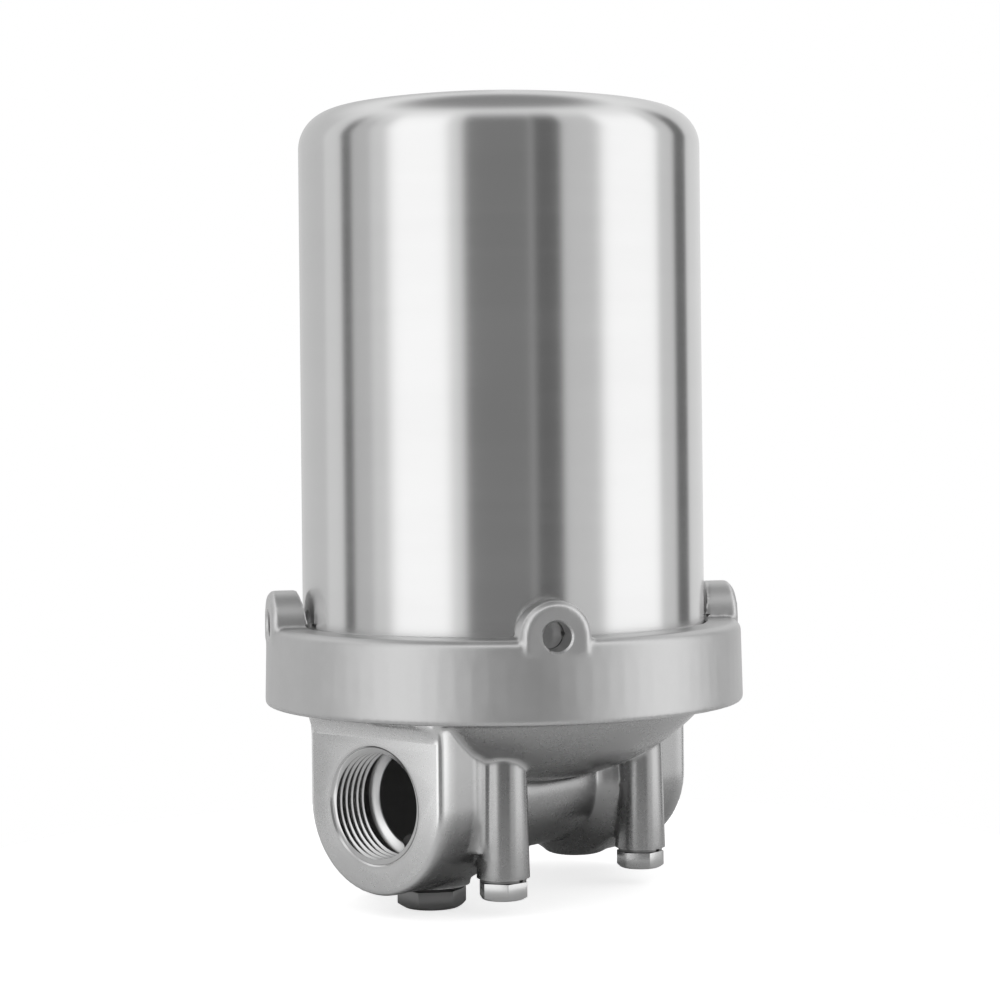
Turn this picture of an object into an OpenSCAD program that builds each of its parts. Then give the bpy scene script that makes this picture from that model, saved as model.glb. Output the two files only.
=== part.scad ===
// Cartridge filter housing: an upturned bell, held down on a ported head by a four-lug ring nut.
// Z is up on the bell's axis, the flow runs along X from the inlet at -X to the outlet at +X,
// and z = 0 is the underside of the drain plug. All sizes are in millimetres.

/* [Bell] */
// Outside diameter of the bell
bell_od = 96.6; // [92:0.2:104]
// Sheet thickness of the bell
bell_wall = 1.5; // [1:0.1:2]
// Height of the bell from its flange face to the middle of its crown
bell_h = 133.7; // [132:0.1:180]
// Radius of the knuckle between the wall and the crown
bell_knuckle_r = 9; // [6:0.5:14]
// Radius of the shallow crown
bell_crown_r = 239; // [180:1:400]
// Thickness of the flange that the ring nut clamps
flange_t = 2.5; // [2:0.1:3.5]
// Width by which the flange stands out of the wall
flange_w = 4.6; // [4.2:0.1:6]

/* [Ring nut] */
// Depth of the clamping thread, left as a plain gap between nut and head
thread_depth = 1.4; // [1:0.1:2]
// Wall of the ring nut outside its thread, at the bottom edge
nut_wall = 3.1; // [2.5:0.1:6]
// Taper of the ring nut's outer face over its height
nut_taper = 0.35; // [0:0.05:1]
// Thickness of the shoulder that bears on the bell's flange
nut_shoulder_t = 4.3; // [3:0.1:8]
// Radial clearance between the bell and the ring nut
nut_clear = 0.45; // [0.3:0.05:1]
// Thickness of the slip washer under the shoulder
slip_washer_t = 0.8; // [0.5:0.1:1.5]
// Rounding of the ring nut's top outer edge
nut_top_round = 2.2; // [1:0.1:3]
// Rounding of the ring nut's bottom outer edge
nut_bottom_round = 1; // [0.5:0.1:2]
// Number of lugs on the ring nut
lug_count = 4; // [3:1:6]
// Direction of the first lug round the axis, in degrees
lug_angle = 52; // [0:1:89]
// Outer radius of a lug's round head
lug_r = 8; // [6:0.1:10]
// Diameter of the tommy bar hole in each lug
lug_hole_d = 6.6; // [4:0.1:8]
// Height of a lug's hole above the ring nut's top face
lug_hole_rise = 0.6; // [0:0.1:3]
// Chamfer round the outer face of a lug
lug_chamfer = 1.1; // [0.4:0.1:1.5]
// Lean of a lug's inner face away from the bell, over its height
lug_lean = 1.4; // [0:0.1:3]

/* [Head] */
// Distance of each port's face from the bell's axis
port_face_x = 46.5; // [45:0.1:50]
// Height from the port axis up to the ring nut's bottom edge
port_to_nut = 20.2; // [19:0.1:26]
// Radius of the round bottom of each port boss
boss_r = 19.6; // [18:0.1:22]
// Step between the port pad and the boss behind it
pad_step = 1; // [0.5:0.1:1.5]
// Thickness of the port pad
pad_t = 5; // [3:0.5:8]
// Rounding of the port pad's front edge
pad_round = 2; // [0.6:0.1:2.5]
// Height of the concave shelf between the port pad and the rim
shelf_h = 4.8; // [3:0.1:6]
// Outer radius of the cross tube between the bosses
tube_r = 15.8; // [15:0.1:17]
// Distance from the bell's axis to the inner end of each boss
boss_inner_x = 24; // [22:0.5:28]
// Length of the flare between the cross tube and each boss
flare_l = 7; // [4:0.5:9]
// Radius of the flat in the middle of the dish's underside
dish_flat_r = 10; // [6:0.5:24]
// Depth of the dish below the ring nut
dish_h = 18.2; // [14:0.1:19]
// Width of the undercut that the dish leaves below the head's thread
dish_inset = 4.1; // [2:0.1:5]
// Wall of the dish
dish_wall = 3.3; // [2.5:0.1:5]
// Height of the threaded rim above the ring nut's bottom edge
rim_h = 11.3; // [10:0.1:16]
// Height of the lip that centres the bell
lip_h = 2.5; // [1.5:0.1:4]
// Width of the lip that centres the bell
lip_w = 3.4; // [2.5:0.1:5]
// Radial clearance between the lip and the bell
lip_clear = 0.35; // [0.2:0.05:0.8]

/* [Ports] */
// Diameter of the port thread at its root
port_d = 26.44; // [20:0.01:27]
// Depth of the port thread from the pad's face
port_depth = 12.5; // [10:0.1:14]
// Chamfer at the mouth of the port
port_chamfer = 0.5; // [0.2:0.1:1]
// Width of the relief groove behind the thread
groove_w = 2.5; // [1.5:0.1:3]
// Depth of the relief groove below the thread's root
groove_depth = 0.45; // [0.2:0.05:0.8]
// Diameter of the waterway behind the port
waterway_d = 21.2; // [16:0.1:23]
// Diameter of the window from the inlet waterway up into the dish
window_d = 14; // [10:0.5:15]
// Distance of that window from the bell's axis
window_x = 22; // [21.5:0.5:24]

/* [Posts and bolts] */
// Distance of each bolt post from the bell's axis along the flow
post_x = 26; // [24:0.5:30]
// Distance of each bolt post from the bell's axis across the flow
post_y = 21; // [20:0.5:24]
// Diameter of a post at its foot
post_d = 12; // [11:0.2:14]
// Draft of a post's radius up to the dish
post_draft = 0.6; // [0:0.1:1]
// Height of the bolt heads' undersides above the drain plug's underside
bolt_lift = 3.9; // [2:0.1:6]
// Diameter of the bolts' threads
bolt_d = 6; // [5:1:8]
// Size of the bolts' hexagons across flats
bolt_af = 10; // [9:0.5:12]
// Height of the bolt heads
bolt_head_h = 4; // [3:0.1:5]
// Length of the bolts below the head
bolt_l = 14; // [8:1:16]
// Thickness of the spring washers
spring_washer_t = 0.9; // [0.6:0.1:1.6]
// Thickness of the rib between each post and its boss
rib_t = 2.4; // [1.5:0.1:4]
// Length of the rib from the post's centre
rib_l = 8; // [6.5:0.5:10]

/* [Drain] */
// Distance of the drain from the bell's axis, towards the inlet
drain_x = 27; // [24:0.5:30]
// Diameter of the drain thread at its root
drain_d = 13.2; // [10:0.1:14]
// Size of the drain plug's hexagon across flats
drain_af = 14; // [13:0.5:17]
// Height of the drain plug's hexagon
drain_hex_h = 4.3; // [3:0.1:6]
// Length of the drain plug's shank
drain_shank_l = 8.2; // [6:0.1:9]
// Thickness of the drain seal
drain_seal_t = 1; // [0.6:0.1:2]
// Height by which the drain boss stands below the port boss
drain_boss_h = 0.6; // [0.4:0.1:3]
// Radius of the drain boss at its face
drain_boss_r = 8.8; // [8.4:0.1:10]
// Rounding of the blind boss, which mirrors the drain boss under the outlet
blind_round = 3.5; // [1:0.1:5]

/* [Cartridge] */
// Outside diameter of the cartridge
cartridge_od = 63; // [58:0.5:72]
// Bore of the cartridge
cartridge_bore = 28; // [27:0.5:30]
// Thickness of each end gasket
gasket_t = 3; // [2:0.5:5]
// Thickness of each end cap
cap_t = 5; // [3:0.5:8]
// Depth of the cartridge seat below the head's rim
seat_depth = 8; // [6:0.5:9]
// Number of pleats
pleat_count = 48; // [30:1:60]

/* [Spring] */
// Wire diameter of the hold-down spring
spring_wire = 1.8; // [1.2:0.1:2.2]
// Mean diameter of the hold-down spring
spring_d = 24; // [20:0.5:26]
// Active turns of the hold-down spring
spring_turns = 2.5; // [2:0.5:3]
// Sheet thickness of the spring plate
plate_t = 1.5; // [1:0.1:2]
// Height that the spring fills between its plate and its cup
spring_space = 13.057; // [10:0.001:16]

/* [Hidden] */
$fn = 96;

// A cut runs past the face that it leaves by this much
over = 1;

// Heights of the head, from the drain plug's underside upwards
drain_seat_z = drain_hex_h + drain_seal_t;
port_z = drain_seat_z + drain_boss_h + boss_r;
nut_z = port_z + port_to_nut;
rim_z = nut_z + rim_h;
dish_z = nut_z - dish_h;
shelf_z = nut_z - shelf_h;
post_z = bolt_lift + bolt_head_h + spring_washer_t;
seat_z = rim_z - seat_depth;

// Radii of the joint between the bell, the head and the ring nut
bell_r = bell_od / 2;
bell_in_r = bell_r - bell_wall;
flange_r = bell_r + flange_w;
thread_r = flange_r;
nut_bore_r = thread_r + thread_depth;
nut_r = nut_bore_r + nut_wall;
rim_foot_step = 1.6;
rim_foot_r = thread_r - rim_foot_step;
rim_foot_h = 1.5;
rim_chamfer = 0.7;

// Bell: the crown's circle touches the knuckle's circle on the line through their centres
knuckle_x = bell_r - bell_knuckle_r;
crown_z = rim_z + bell_h - bell_crown_r;
knuckle_z = crown_z + sqrt(pow(bell_crown_r - bell_knuckle_r, 2) - pow(knuckle_x, 2));
flange_fillet = 1.2;

// Ring nut
shoulder_z = rim_z + flange_t + slip_washer_t;
nut_top_z = shoulder_z + nut_shoulder_t;
nut_h = nut_top_z - nut_z;
nut_hole_r = bell_r + nut_clear;
lug_hole_z = nut_top_z + lug_hole_rise;
lug_set_back = 0.05;
lug_face_r = nut_r - nut_taper - lug_set_back;
lug_inner_step = 0.2;
lug_inner_r = nut_hole_r + lug_inner_step;

// Head: the dish's underside is an arc that starts level at the edge of its flat
dish_rim_r = thread_r - dish_inset;
dish_arc_r = (pow(dish_rim_r - dish_flat_r, 2) + pow(dish_h, 2)) / (2 * dish_h);
lip_r = bell_in_r - lip_clear;
cup_r = lip_r - lip_w;
body_r = boss_r - pad_step;
flare_step = body_r - tube_r;
flare_r = (pow(flare_l, 2) + pow(flare_step, 2)) / (2 * flare_step);
boss_flare = 2;
boss_root_h = boss_r / 2;
inner_tube_step = 0.4;
inner_tube_r = tube_r - inner_tube_step;

// Seal between the bell and the head, squeezed flat in its groove
seal_w = 3;
seal_h = 2.3;
seal_fit = 0.1;
seal_set_in = 1.2;
seal_in_r = bell_in_r + seal_set_in;

// Waterways
port_r = port_d / 2;
waterway_r = waterway_d / 2;
ledge_x = port_face_x - port_depth - groove_w;
outlet_r = 8.5;
outlet_end_x = -outlet_r;
inlet_end_x = window_x - window_d / 2;

// Cartridge seat: a turned spigot screwed into the middle of the dish
spigot_seal_t = 1;
spigot_flange_t = 1.5;
knife_h = 1.5;
spigot_z = seat_z - knife_h - spigot_flange_t;
centre_boss_z = spigot_z - spigot_seal_t;
spigot_thread_r = 9.9;
spigot_thread_l = 9;
spigot_hole_r = 10.4;
centre_boss_r = 13.6;
bore_fit = 1.2;
spigot_tube_r = cartridge_bore / 2 - bore_fit;
spigot_tube_h = 13;
spigot_lead_h = 2;
spigot_lead_w = 1;
spigot_flange_w = 7;
spigot_flange_r = cartridge_bore / 2 + spigot_flange_w;
knife_step = 4;
knife_r = cartridge_bore / 2 + knife_step;
knife_w = 1.4;

// Hold-down spring between the plate on the cartridge and the cup under the crown
plate_w = 6;
plate_plug_h = 8;
plate_rim_h = 2.5;
cup_t = 1.2;
cup_rim_h = 3;
spring_clear = 0.4;
spring_r = spring_d / 2;
cup_in_r = spring_r + spring_wire / 2 + spring_clear;
cup_out_r = cup_in_r + cup_t;
cup_flat_z = crown_z + sqrt(pow(bell_crown_r - bell_wall, 2) - pow(cup_out_r, 2)) - cup_t;
spring_gap = 0.1;
plate_top_z = cup_flat_z - spring_space;
spring_lo_z = plate_top_z + spring_gap;
spring_hi_z = cup_flat_z - spring_gap;
plate_rim_r = spring_r - spring_wire / 2 - spring_clear;

// Cartridge: it fills the height between its seat and the spring plate
cart_r = cartridge_od / 2;
bore_r = cartridge_bore / 2;
core_wall = 3;
cage_wall = 1;
cage_fit = 0.1;
media_fit = 0.2;
gasket_step = 0.3;
gasket_w = 8;
gasket_in_r = bore_r + gasket_step;
gasket_out_r = bore_r + gasket_w;
plate_r = bore_r + plate_w;
plate_plug_r = bore_r - bore_fit;
cart_top_z = plate_top_z - plate_t;
lower_cap_z = seat_z + gasket_t;
upper_cap_z = cart_top_z - gasket_t - cap_t;
media_z = lower_cap_z + cap_t;
media_h = upper_cap_z - media_z;
cap_rim_h = 2;
cap_rim_w = 1.2;
cage_r = cart_r - cap_rim_w - cage_fit;
media_out_r = cage_r - cage_wall - media_fit;
media_in_r = bore_r + core_wall + media_fit;
pleat_sheet = 0.5;
window_rows = 9;

// Bolts and drain plug: shanks at the root of their threads, holes at the threads' full size
bolt_thread_depth = 0.5;
bolt_shank_r = bolt_d / 2 - bolt_thread_depth;
bolt_hole_fit = 0.05;
bolt_hole_r = bolt_d / 2 + bolt_hole_fit;
bolt_end_gap = 1;
bolt_hole_l = bolt_l + bolt_end_gap;
washer_w = 0.3;
washer_r = bolt_af / 2 + washer_w;
drain_thread_depth = 0.9;
drain_shank_r = drain_d / 2 - drain_thread_depth;
drain_seal_w = 0.7;
drain_seal_r = drain_af / 2 + drain_seal_w;
seal_fit_in = 0.2;
drain_end_h = 1;

// One bolt at each corner: its signs along X and Y, and the direction of a hexagon's corner
bolt_places = [[-1, -1, 51], [1, -1, 1], [1, 1, 20], [-1, 1, 38]];
drain_corner = 19;

// Turns what it holds so that its own Z lies along X
module along_x() {
    rotate([0, 90, 0]) children();
}

// Ring with square corners
module ring(out_r, in_r, h) {
    difference() {
        cylinder(r = out_r, h = h);
        translate([0, 0, -over]) cylinder(r = in_r, h = h + 2 * over);
    }
}

// Outline of the bell's outside or inside: wall, knuckle and crown, thinned by inset
module bell_outline(inset) {
    wall_r = bell_r - inset;
    round_r = bell_knuckle_r - inset;
    top_r = bell_crown_r - inset;
    union() {
        translate([0, rim_z]) square([wall_r, knuckle_z - rim_z]);
        translate([0, rim_z]) square([knuckle_x, knuckle_z - rim_z + round_r / 2]);
        intersection() {
            translate([knuckle_x, knuckle_z]) circle(r = round_r);
            translate([0, rim_z]) square([bell_r + over, bell_h]);
        }
        intersection() {
            translate([0, crown_z]) circle(r = top_r, $fn = 720);
            polygon([[0, crown_z], 1.1 * [knuckle_x, knuckle_z - crown_z] + [0, crown_z],
                     [0, crown_z + 1.1 * bell_crown_r]]);
        }
    }
}

module bell() {
    color("silver")
    rotate_extrude()
    difference() {
        bell_outline(0);
        bell_outline(bell_wall);
        translate([0, rim_z - over]) square([bell_in_r, 2 * over]);
    }
}

// Turned ring that is welded round the mouth of the bell, with its fillet of weld
module bell_flange() {
    color("silver")
    rotate_extrude()
    difference() {
        union() {
            translate([bell_r, rim_z]) square([flange_w, flange_t]);
            translate([bell_r, rim_z]) square([flange_fillet, flange_t + flange_fillet]);
        }
        translate([bell_r + flange_fillet, rim_z + flange_t + flange_fillet])
            circle(r = flange_fillet);
    }
}

// Pressed cup under the crown that keeps the spring in the middle
module spring_cup() {
    color("gainsboro")
    rotate_extrude()
    difference() {
        intersection() {
            translate([0, cup_flat_z - cup_rim_h]) square([cup_out_r, 4 * cup_rim_h]);
            translate([0, crown_z]) circle(r = bell_crown_r - bell_wall, $fn = 720);
        }
        translate([0, cup_flat_z - cup_rim_h - over]) square([cup_in_r, cup_rim_h + over]);
    }
}

// Height of the spring's wire centre after a share of its length, with one dead turn at each end
function spring_turn_count() = spring_turns + 2;
function spring_z(turn) =
    let (lo = spring_lo_z + spring_wire / 2)
    let (hi = spring_hi_z - spring_wire / 2)
    let (closed = spring_wire * 1.05)
    turn <= 1 ? lo + closed * turn * turn / 2
    : turn >= spring_turn_count() - 1
        ? hi - closed * pow(spring_turn_count() - turn, 2) / 2
        : lo + closed / 2 + (hi - lo - closed) * (turn - 1) / spring_turns;

module hold_down_spring() {
    steps = 26;
    sides = 8;
    rings = spring_turn_count() * steps;
    points = [for (i = [0:rings], k = [0:sides - 1])
        let (a = 360 * i / steps)
        let (r = spring_r + spring_wire / 2 * cos(360 * k / sides))
        [r * cos(a), r * sin(a), spring_z(i / steps) + spring_wire / 2 * sin(360 * k / sides)]];
    sides_faces = [for (i = [0:rings - 1], k = [0:sides - 1])
        [i * sides + k, (i + 1) * sides + k, (i + 1) * sides + (k + 1) % sides,
         i * sides + (k + 1) % sides]];
    start_face = [for (k = [0:sides - 1]) k];
    end_face = [for (k = [sides - 1:-1:0]) rings * sides + k];
    color("dimgray")
    polyhedron(points = points, faces = concat(sides_faces, [start_face], [end_face]));
}

// Plate that the spring presses on the cartridge, with a plug that closes the cartridge's bore
// Spring plate: a disc on the cartridge's gasket, with a rim inside the spring
module spring_plate() {
    hole_r = plate_rim_r - plate_t;
    color("gainsboro")
    translate([0, 0, cart_top_z]) {
        ring(plate_r, hole_r, plate_t);
        ring(plate_rim_r, hole_r, plate_t + plate_rim_h);
    }
}

// Closed spigot welded under the spring plate, which centres and stops the cartridge's bore
module plate_spigot() {
    color("gainsboro")
    translate([0, 0, cart_top_z - plate_plug_h])
        difference() {
            cylinder(r = plate_plug_r, h = plate_plug_h);
            translate([0, 0, plate_t]) cylinder(r = plate_rim_r - plate_t, h = plate_plug_h);
        }
}

module slip_washer() {
    lap = 0.6;
    weld_gap = 0.15;
    color("whitesmoke")
    translate([0, 0, rim_z + flange_t])
        ring(flange_r + lap, nut_hole_r + weld_gap + flange_fillet, slip_washer_t);
}

// Outline of the ring nut without its lugs, the outer face leaning in towards the top
module nut_outline() {
    difference() {
        union() {
            polygon([[nut_hole_r, nut_z], [nut_r - nut_bottom_round, nut_z],
                     [nut_r, nut_z + nut_bottom_round],
                     [nut_r - nut_taper, nut_top_z - nut_top_round],
                     [nut_r - nut_taper - nut_top_round, nut_top_z], [nut_hole_r, nut_top_z]]);
            intersection() {
                translate([nut_r - nut_taper - nut_top_round, nut_top_z - nut_top_round])
                    circle(r = nut_top_round);
                translate([nut_hole_r, nut_z]) square([nut_r, nut_h]);
            }
            translate([nut_r - nut_bottom_round, nut_z + nut_bottom_round])
                circle(r = nut_bottom_round);
        }
        translate([0, nut_z - over]) square([nut_bore_r, shoulder_z - nut_z + over]);
    }
}

// One upstanding lug: a block that grows out of the ring, and a round head with a chamfered face
module lug() {
    depth = lug_face_r - nut_hole_r + over;
    back_r = lug_face_r - depth;
    foot_z = nut_top_z - nut_top_round - over;
    difference() {
        union() {
            translate([0, 0, foot_z])
                linear_extrude(lug_hole_z - foot_z)
                polygon([[back_r, -lug_r], [lug_face_r - lug_chamfer, -lug_r],
                         [lug_face_r, -lug_r + lug_chamfer], [lug_face_r, lug_r - lug_chamfer],
                         [lug_face_r - lug_chamfer, lug_r], [back_r, lug_r]]);
            translate([back_r, 0, lug_hole_z])
                along_x()
                rotate([0, 0, 90])
                rotate_extrude(angle = 180)
                polygon([[0, 0], [lug_r, 0], [lug_r, depth - lug_chamfer],
                         [lug_r - lug_chamfer, depth], [0, depth]]);
        }
        translate([0, 0, nut_z]) cylinder(r = lug_inner_r, h = nut_h);
        translate([0, 0, nut_top_z - 0.01])
            cylinder(r1 = lug_inner_r, r2 = lug_inner_r + lug_lean, h = lug_r + lug_hole_rise + over);
    }
}

module ring_nut() {
    color("lightgray")
    difference() {
        union() {
            rotate_extrude() nut_outline();
            for (i = [0:lug_count - 1])
                rotate([0, 0, lug_angle + i * 360 / lug_count]) lug();
        }
        for (i = [0:lug_count - 1])
            rotate([0, 0, lug_angle + i * 360 / lug_count])
            translate([nut_hole_r - over, 0, lug_hole_z])
            along_x() cylinder(d = lug_hole_d, h = nut_r);
    }
}

// Outline of the dish and its threaded rim, as a solid of revolution
module dish_outline() {
    intersection() {
        union() {
            translate([0, dish_z]) square([dish_flat_r, dish_h + over]);
            translate([dish_flat_r, dish_z + dish_arc_r]) circle(r = dish_arc_r, $fn = 200);
        }
        translate([0, dish_z - over]) square([dish_rim_r + over, dish_h + over]);
    }
    neck_h = 0.4;
    translate([0, nut_z - neck_h]) square([rim_foot_r, rim_h + neck_h - rim_chamfer]);
    translate([0, nut_z + rim_foot_h])
        square([thread_r, rim_h - rim_foot_h - rim_chamfer]);
    polygon([[0, rim_z - rim_chamfer], [thread_r, rim_z - rim_chamfer],
             [thread_r - rim_chamfer, rim_z], [0, rim_z]]);
    translate([0, rim_z - over]) square([lip_r, lip_h + over]);
}

// Hollow of the dish, with the same arc as its underside
module cup_outline() {
    intersection() {
        union() {
            translate([0, dish_z + dish_wall]) square([dish_flat_r, dish_h + rim_h]);
            translate([dish_flat_r, dish_z + dish_arc_r])
                circle(r = dish_arc_r - dish_wall, $fn = 200);
            translate([0, dish_z + dish_arc_r]) square([cup_r, rim_h + lip_h + dish_h]);
        }
        translate([0, dish_z]) square([cup_r, dish_h + rim_h + lip_h + over]);
    }
}

// Outline of a port boss seen along the port: round below, straight sides up to the rim
module boss_outline(r) {
    circle(r = r);
    translate([-r, 0]) square([2 * r, nut_z - port_z]);
}

// Port pad with a rounded front edge, built on the -X side
module port_pad() {
    front = port_face_x;
    back = port_face_x - pad_t;
    translate([0, 0, port_z])
        rotate([0, -90, 0])
        rotate([0, 0, 90])
        rotate_extrude(angle = 180)
        pad_section(back, front);
    translate([0, 0, port_z])
        linear_extrude(nut_z - port_z)
        rotate([0, 0, 90])
        union() {
            pad_section(back, front);
            mirror([1, 0]) pad_section(back, front);
        }
}

// Half of the pad's section: across the port along x, from its back to its front along y
module pad_section(back, front) {
    translate([0, back]) square([boss_r, front - back - pad_round]);
    translate([0, back]) square([boss_r - pad_round, front - back]);
    translate([boss_r - pad_round, front - pad_round]) circle(r = pad_round);
}

// Port boss on the -X side: pad, body and the concave shelf that runs out to the rim
module port_boss() {
    port_pad();
    translate([-boss_inner_x, 0, port_z])
        rotate([90, 0, -90])
        linear_extrude(port_face_x - pad_t - boss_inner_x + over)
        boss_outline(body_r);
    intersection() {
        cylinder(r = rim_foot_r, h = nut_z + rim_foot_h);
        translate([0, boss_r, 0])
            rotate([90, 0, 0])
            linear_extrude(2 * boss_r)
            difference() {
                translate([-rim_foot_r, shelf_z])
                    square([rim_foot_r - boss_inner_x, shelf_h + rim_foot_h / 2]);
                translate([-port_face_x - shelf_h, shelf_z]) circle(r = shelf_h);
            }
    }
}

// Cross tube between the bosses, flared at both ends
module cross_tube() {
    translate([0, 0, port_z])
        along_x()
        rotate_extrude()
        difference() {
            translate([0, -boss_inner_x - 2]) square([body_r, 2 * boss_inner_x + 4]);
            translate([tube_r, -boss_inner_x + flare_l])
                square([body_r, 2 * (boss_inner_x - flare_l)]);
            for (side = [-1, 1])
                translate([tube_r + flare_r, side * (boss_inner_x - flare_l)])
                    intersection() {
                        circle(r = flare_r);
                        translate([-flare_r, -flare_l]) square([flare_r, 2 * flare_l]);
                    }
        }
}

// Tapered post with its rib, on the corner named by two signs
module post(side_x, side_y) {
    post_h = nut_z - shelf_h - post_z;
    translate([side_x * post_x, side_y * post_y, post_z])
        cylinder(r1 = post_d / 2, r2 = post_d / 2 - post_draft, h = post_h);
    rib_z = post_z + post_d / 2;
    intersection() {
        translate([side_x * (post_x + rib_l / 2), side_y * (post_y - rib_t), rib_z + post_h / 2])
            cube([rib_l, 2 * rib_t, post_h], center = true);
        cylinder(r = dish_rim_r - dish_wall, h = shelf_z);
    }
}

// Boss under the inlet that carries the drain thread
module drain_boss() {
    translate([-drain_x, 0, drain_seat_z])
        cylinder(r1 = drain_boss_r, r2 = drain_boss_r + boss_flare, h = boss_root_h);
}

// Its blind twin under the outlet, left as cast with a rounded foot
module blind_boss() {
    translate([drain_x, 0, drain_seat_z])
        rotate_extrude()
        union() {
            square([drain_boss_r - blind_round, boss_root_h]);
            translate([drain_boss_r - blind_round, blind_round]) circle(r = blind_round);
            polygon([[0, blind_round], [drain_boss_r, blind_round],
                     [drain_boss_r + boss_flare, boss_root_h], [0, boss_root_h]]);
        }
}

// Everything of the head that stays after casting, before any hollow is cut
module head_casting() {
    rotate_extrude() dish_outline();
    cross_tube();
    port_boss();
    mirror([1, 0, 0]) port_boss();
    for (place = bolt_places) post(place[0], place[1]);
    drain_boss();
    blind_boss();
}

// Threaded port with its chamfer, relief groove and waterway, on the -X side
module port_cut(end_x) {
    translate([-port_face_x - over, 0, port_z]) along_x() cylinder(r = port_r, h = port_depth + over);
    translate([-port_face_x - 0.01, 0, port_z])
        along_x()
        cylinder(r1 = port_r + port_chamfer, r2 = port_r, h = port_chamfer);
    translate([-port_face_x + port_depth, 0, port_z])
        along_x()
        cylinder(r = port_r + groove_depth, h = groove_w);
    translate([-ledge_x - over, 0, port_z])
        along_x()
        cylinder(r = waterway_r, h = ledge_x + over + end_x);
}

module head() {
    color("darkgray")
    difference() {
        union() {
            difference() {
                head_casting();
                rotate_extrude() cup_outline();
            }
            translate([-port_face_x + pad_t / 2, 0, port_z])
                along_x()
                cylinder(r = inner_tube_r, h = 2 * port_face_x - pad_t);
            translate([0, 0, port_z]) cylinder(r = centre_boss_r, h = centre_boss_z - port_z);
        }
        port_cut(-inlet_end_x);
        mirror([1, 0, 0]) port_cut(-outlet_end_x);
        translate([-window_x, 0, port_z]) cylinder(d = window_d, h = rim_h + port_to_nut);
        translate([0, 0, port_z]) cylinder(r = outlet_r, h = rim_h + port_to_nut);
        translate([0, 0, centre_boss_z - spigot_thread_l - 1])
            cylinder(r = spigot_hole_r, h = spigot_thread_l + 1 + over);
        translate([-drain_x, 0, drain_seat_z - over])
            cylinder(d = drain_d, h = port_z - drain_seat_z);
        for (place = bolt_places)
            translate([place[0] * post_x, place[1] * post_y, post_z - over])
                cylinder(r = bolt_hole_r, h = bolt_hole_l + over);
        translate([0, 0, rim_z - seal_h])
            ring(seal_in_r + seal_w + 2 * seal_fit, seal_in_r, seal_h + over);
    }
}

module bell_seal() {
    color("black")
    translate([0, 0, rim_z - seal_h])
        rotate_extrude()
        translate([seal_in_r + seal_fit, 0])
        union() {
            translate([seal_h / 2, 0]) square([seal_w - seal_h, seal_h]);
            translate([seal_h / 2, seal_h / 2]) circle(d = seal_h);
            translate([seal_w - seal_h / 2, seal_h / 2]) circle(d = seal_h);
        }
}

module spigot_seal() {
    color("black")
    translate([0, 0, centre_boss_z])
        ring(centre_boss_r - seal_fit_in, spigot_thread_r + seal_fit_in, spigot_seal_t);
}

// Turned seat: flange with a knife edge, a tube that centres the cartridge and a threaded shank
module seat_spigot() {
    slot_w = 4;
    color("silver")
    difference() {
        rotate_extrude()
        union() {
            translate([outlet_r, spigot_z - spigot_thread_l])
                square([spigot_thread_r - outlet_r, spigot_thread_l + spigot_flange_t]);
            translate([outlet_r, spigot_z]) square([spigot_flange_r - outlet_r, spigot_flange_t]);
            polygon([[outlet_r, spigot_z], [spigot_tube_r, spigot_z],
                     [spigot_tube_r, spigot_z + spigot_tube_h - spigot_lead_h],
                     [spigot_tube_r - spigot_lead_w, spigot_z + spigot_tube_h],
                     [outlet_r, spigot_z + spigot_tube_h]]);
            translate([knife_r - knife_w / 2, spigot_z])
                square([knife_w, spigot_flange_t + knife_h]);
        }
        translate([0, 0, spigot_z + spigot_tube_h])
            cube([2 * spigot_tube_r + over, slot_w, slot_w], center = true);
    }
}

module mounting_bolts() {
    color("gainsboro")
    for (place = bolt_places)
        translate([place[0] * post_x, place[1] * post_y, bolt_lift]) {
            rotate([0, 0, place[2]])
                cylinder(d = bolt_af / cos(30), h = bolt_head_h, $fn = 6);
            cylinder(r = bolt_shank_r, h = bolt_head_h + spring_washer_t + bolt_l - bolt_end_gap);
        }
}

// Split spring washers, each with its gap turned away from the ports
module spring_washers() {
    gap = 1.2;
    color("dimgray")
    for (place = bolt_places)
        translate([place[0] * post_x, place[1] * post_y, bolt_lift + bolt_head_h])
            difference() {
                ring(washer_r, bolt_hole_r, spring_washer_t);
                translate([-gap / 2, place[1] > 0 ? 0 : -washer_r, -over])
                    cube([gap, washer_r, spring_washer_t + 2 * over]);
            }
}

module drain_seal() {
    color("black")
    translate([-drain_x, 0, drain_hex_h])
        ring(drain_seal_r, drain_shank_r + seal_fit_in, drain_seal_t);
}

module drain_plug() {
    chamfer = 0.6;
    color("gray")
    translate([-drain_x, 0, 0]) {
        intersection() {
            rotate([0, 0, drain_corner]) cylinder(d = drain_af / cos(30), h = drain_hex_h, $fn = 6);
            rotate_extrude()
                polygon([[0, 0], [drain_af / 2, 0], [drain_af / 2 + 2, 2 * chamfer],
                         [drain_af / 2 + 2, drain_hex_h], [0, drain_hex_h]]);
        }
        cylinder(r = drain_shank_r, h = drain_seat_z + drain_shank_l - drain_end_h);
        translate([0, 0, drain_seat_z + drain_shank_l - drain_end_h])
            cylinder(r1 = drain_shank_r, r2 = drain_shank_r - drain_end_h, h = drain_end_h);
    }
}

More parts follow.
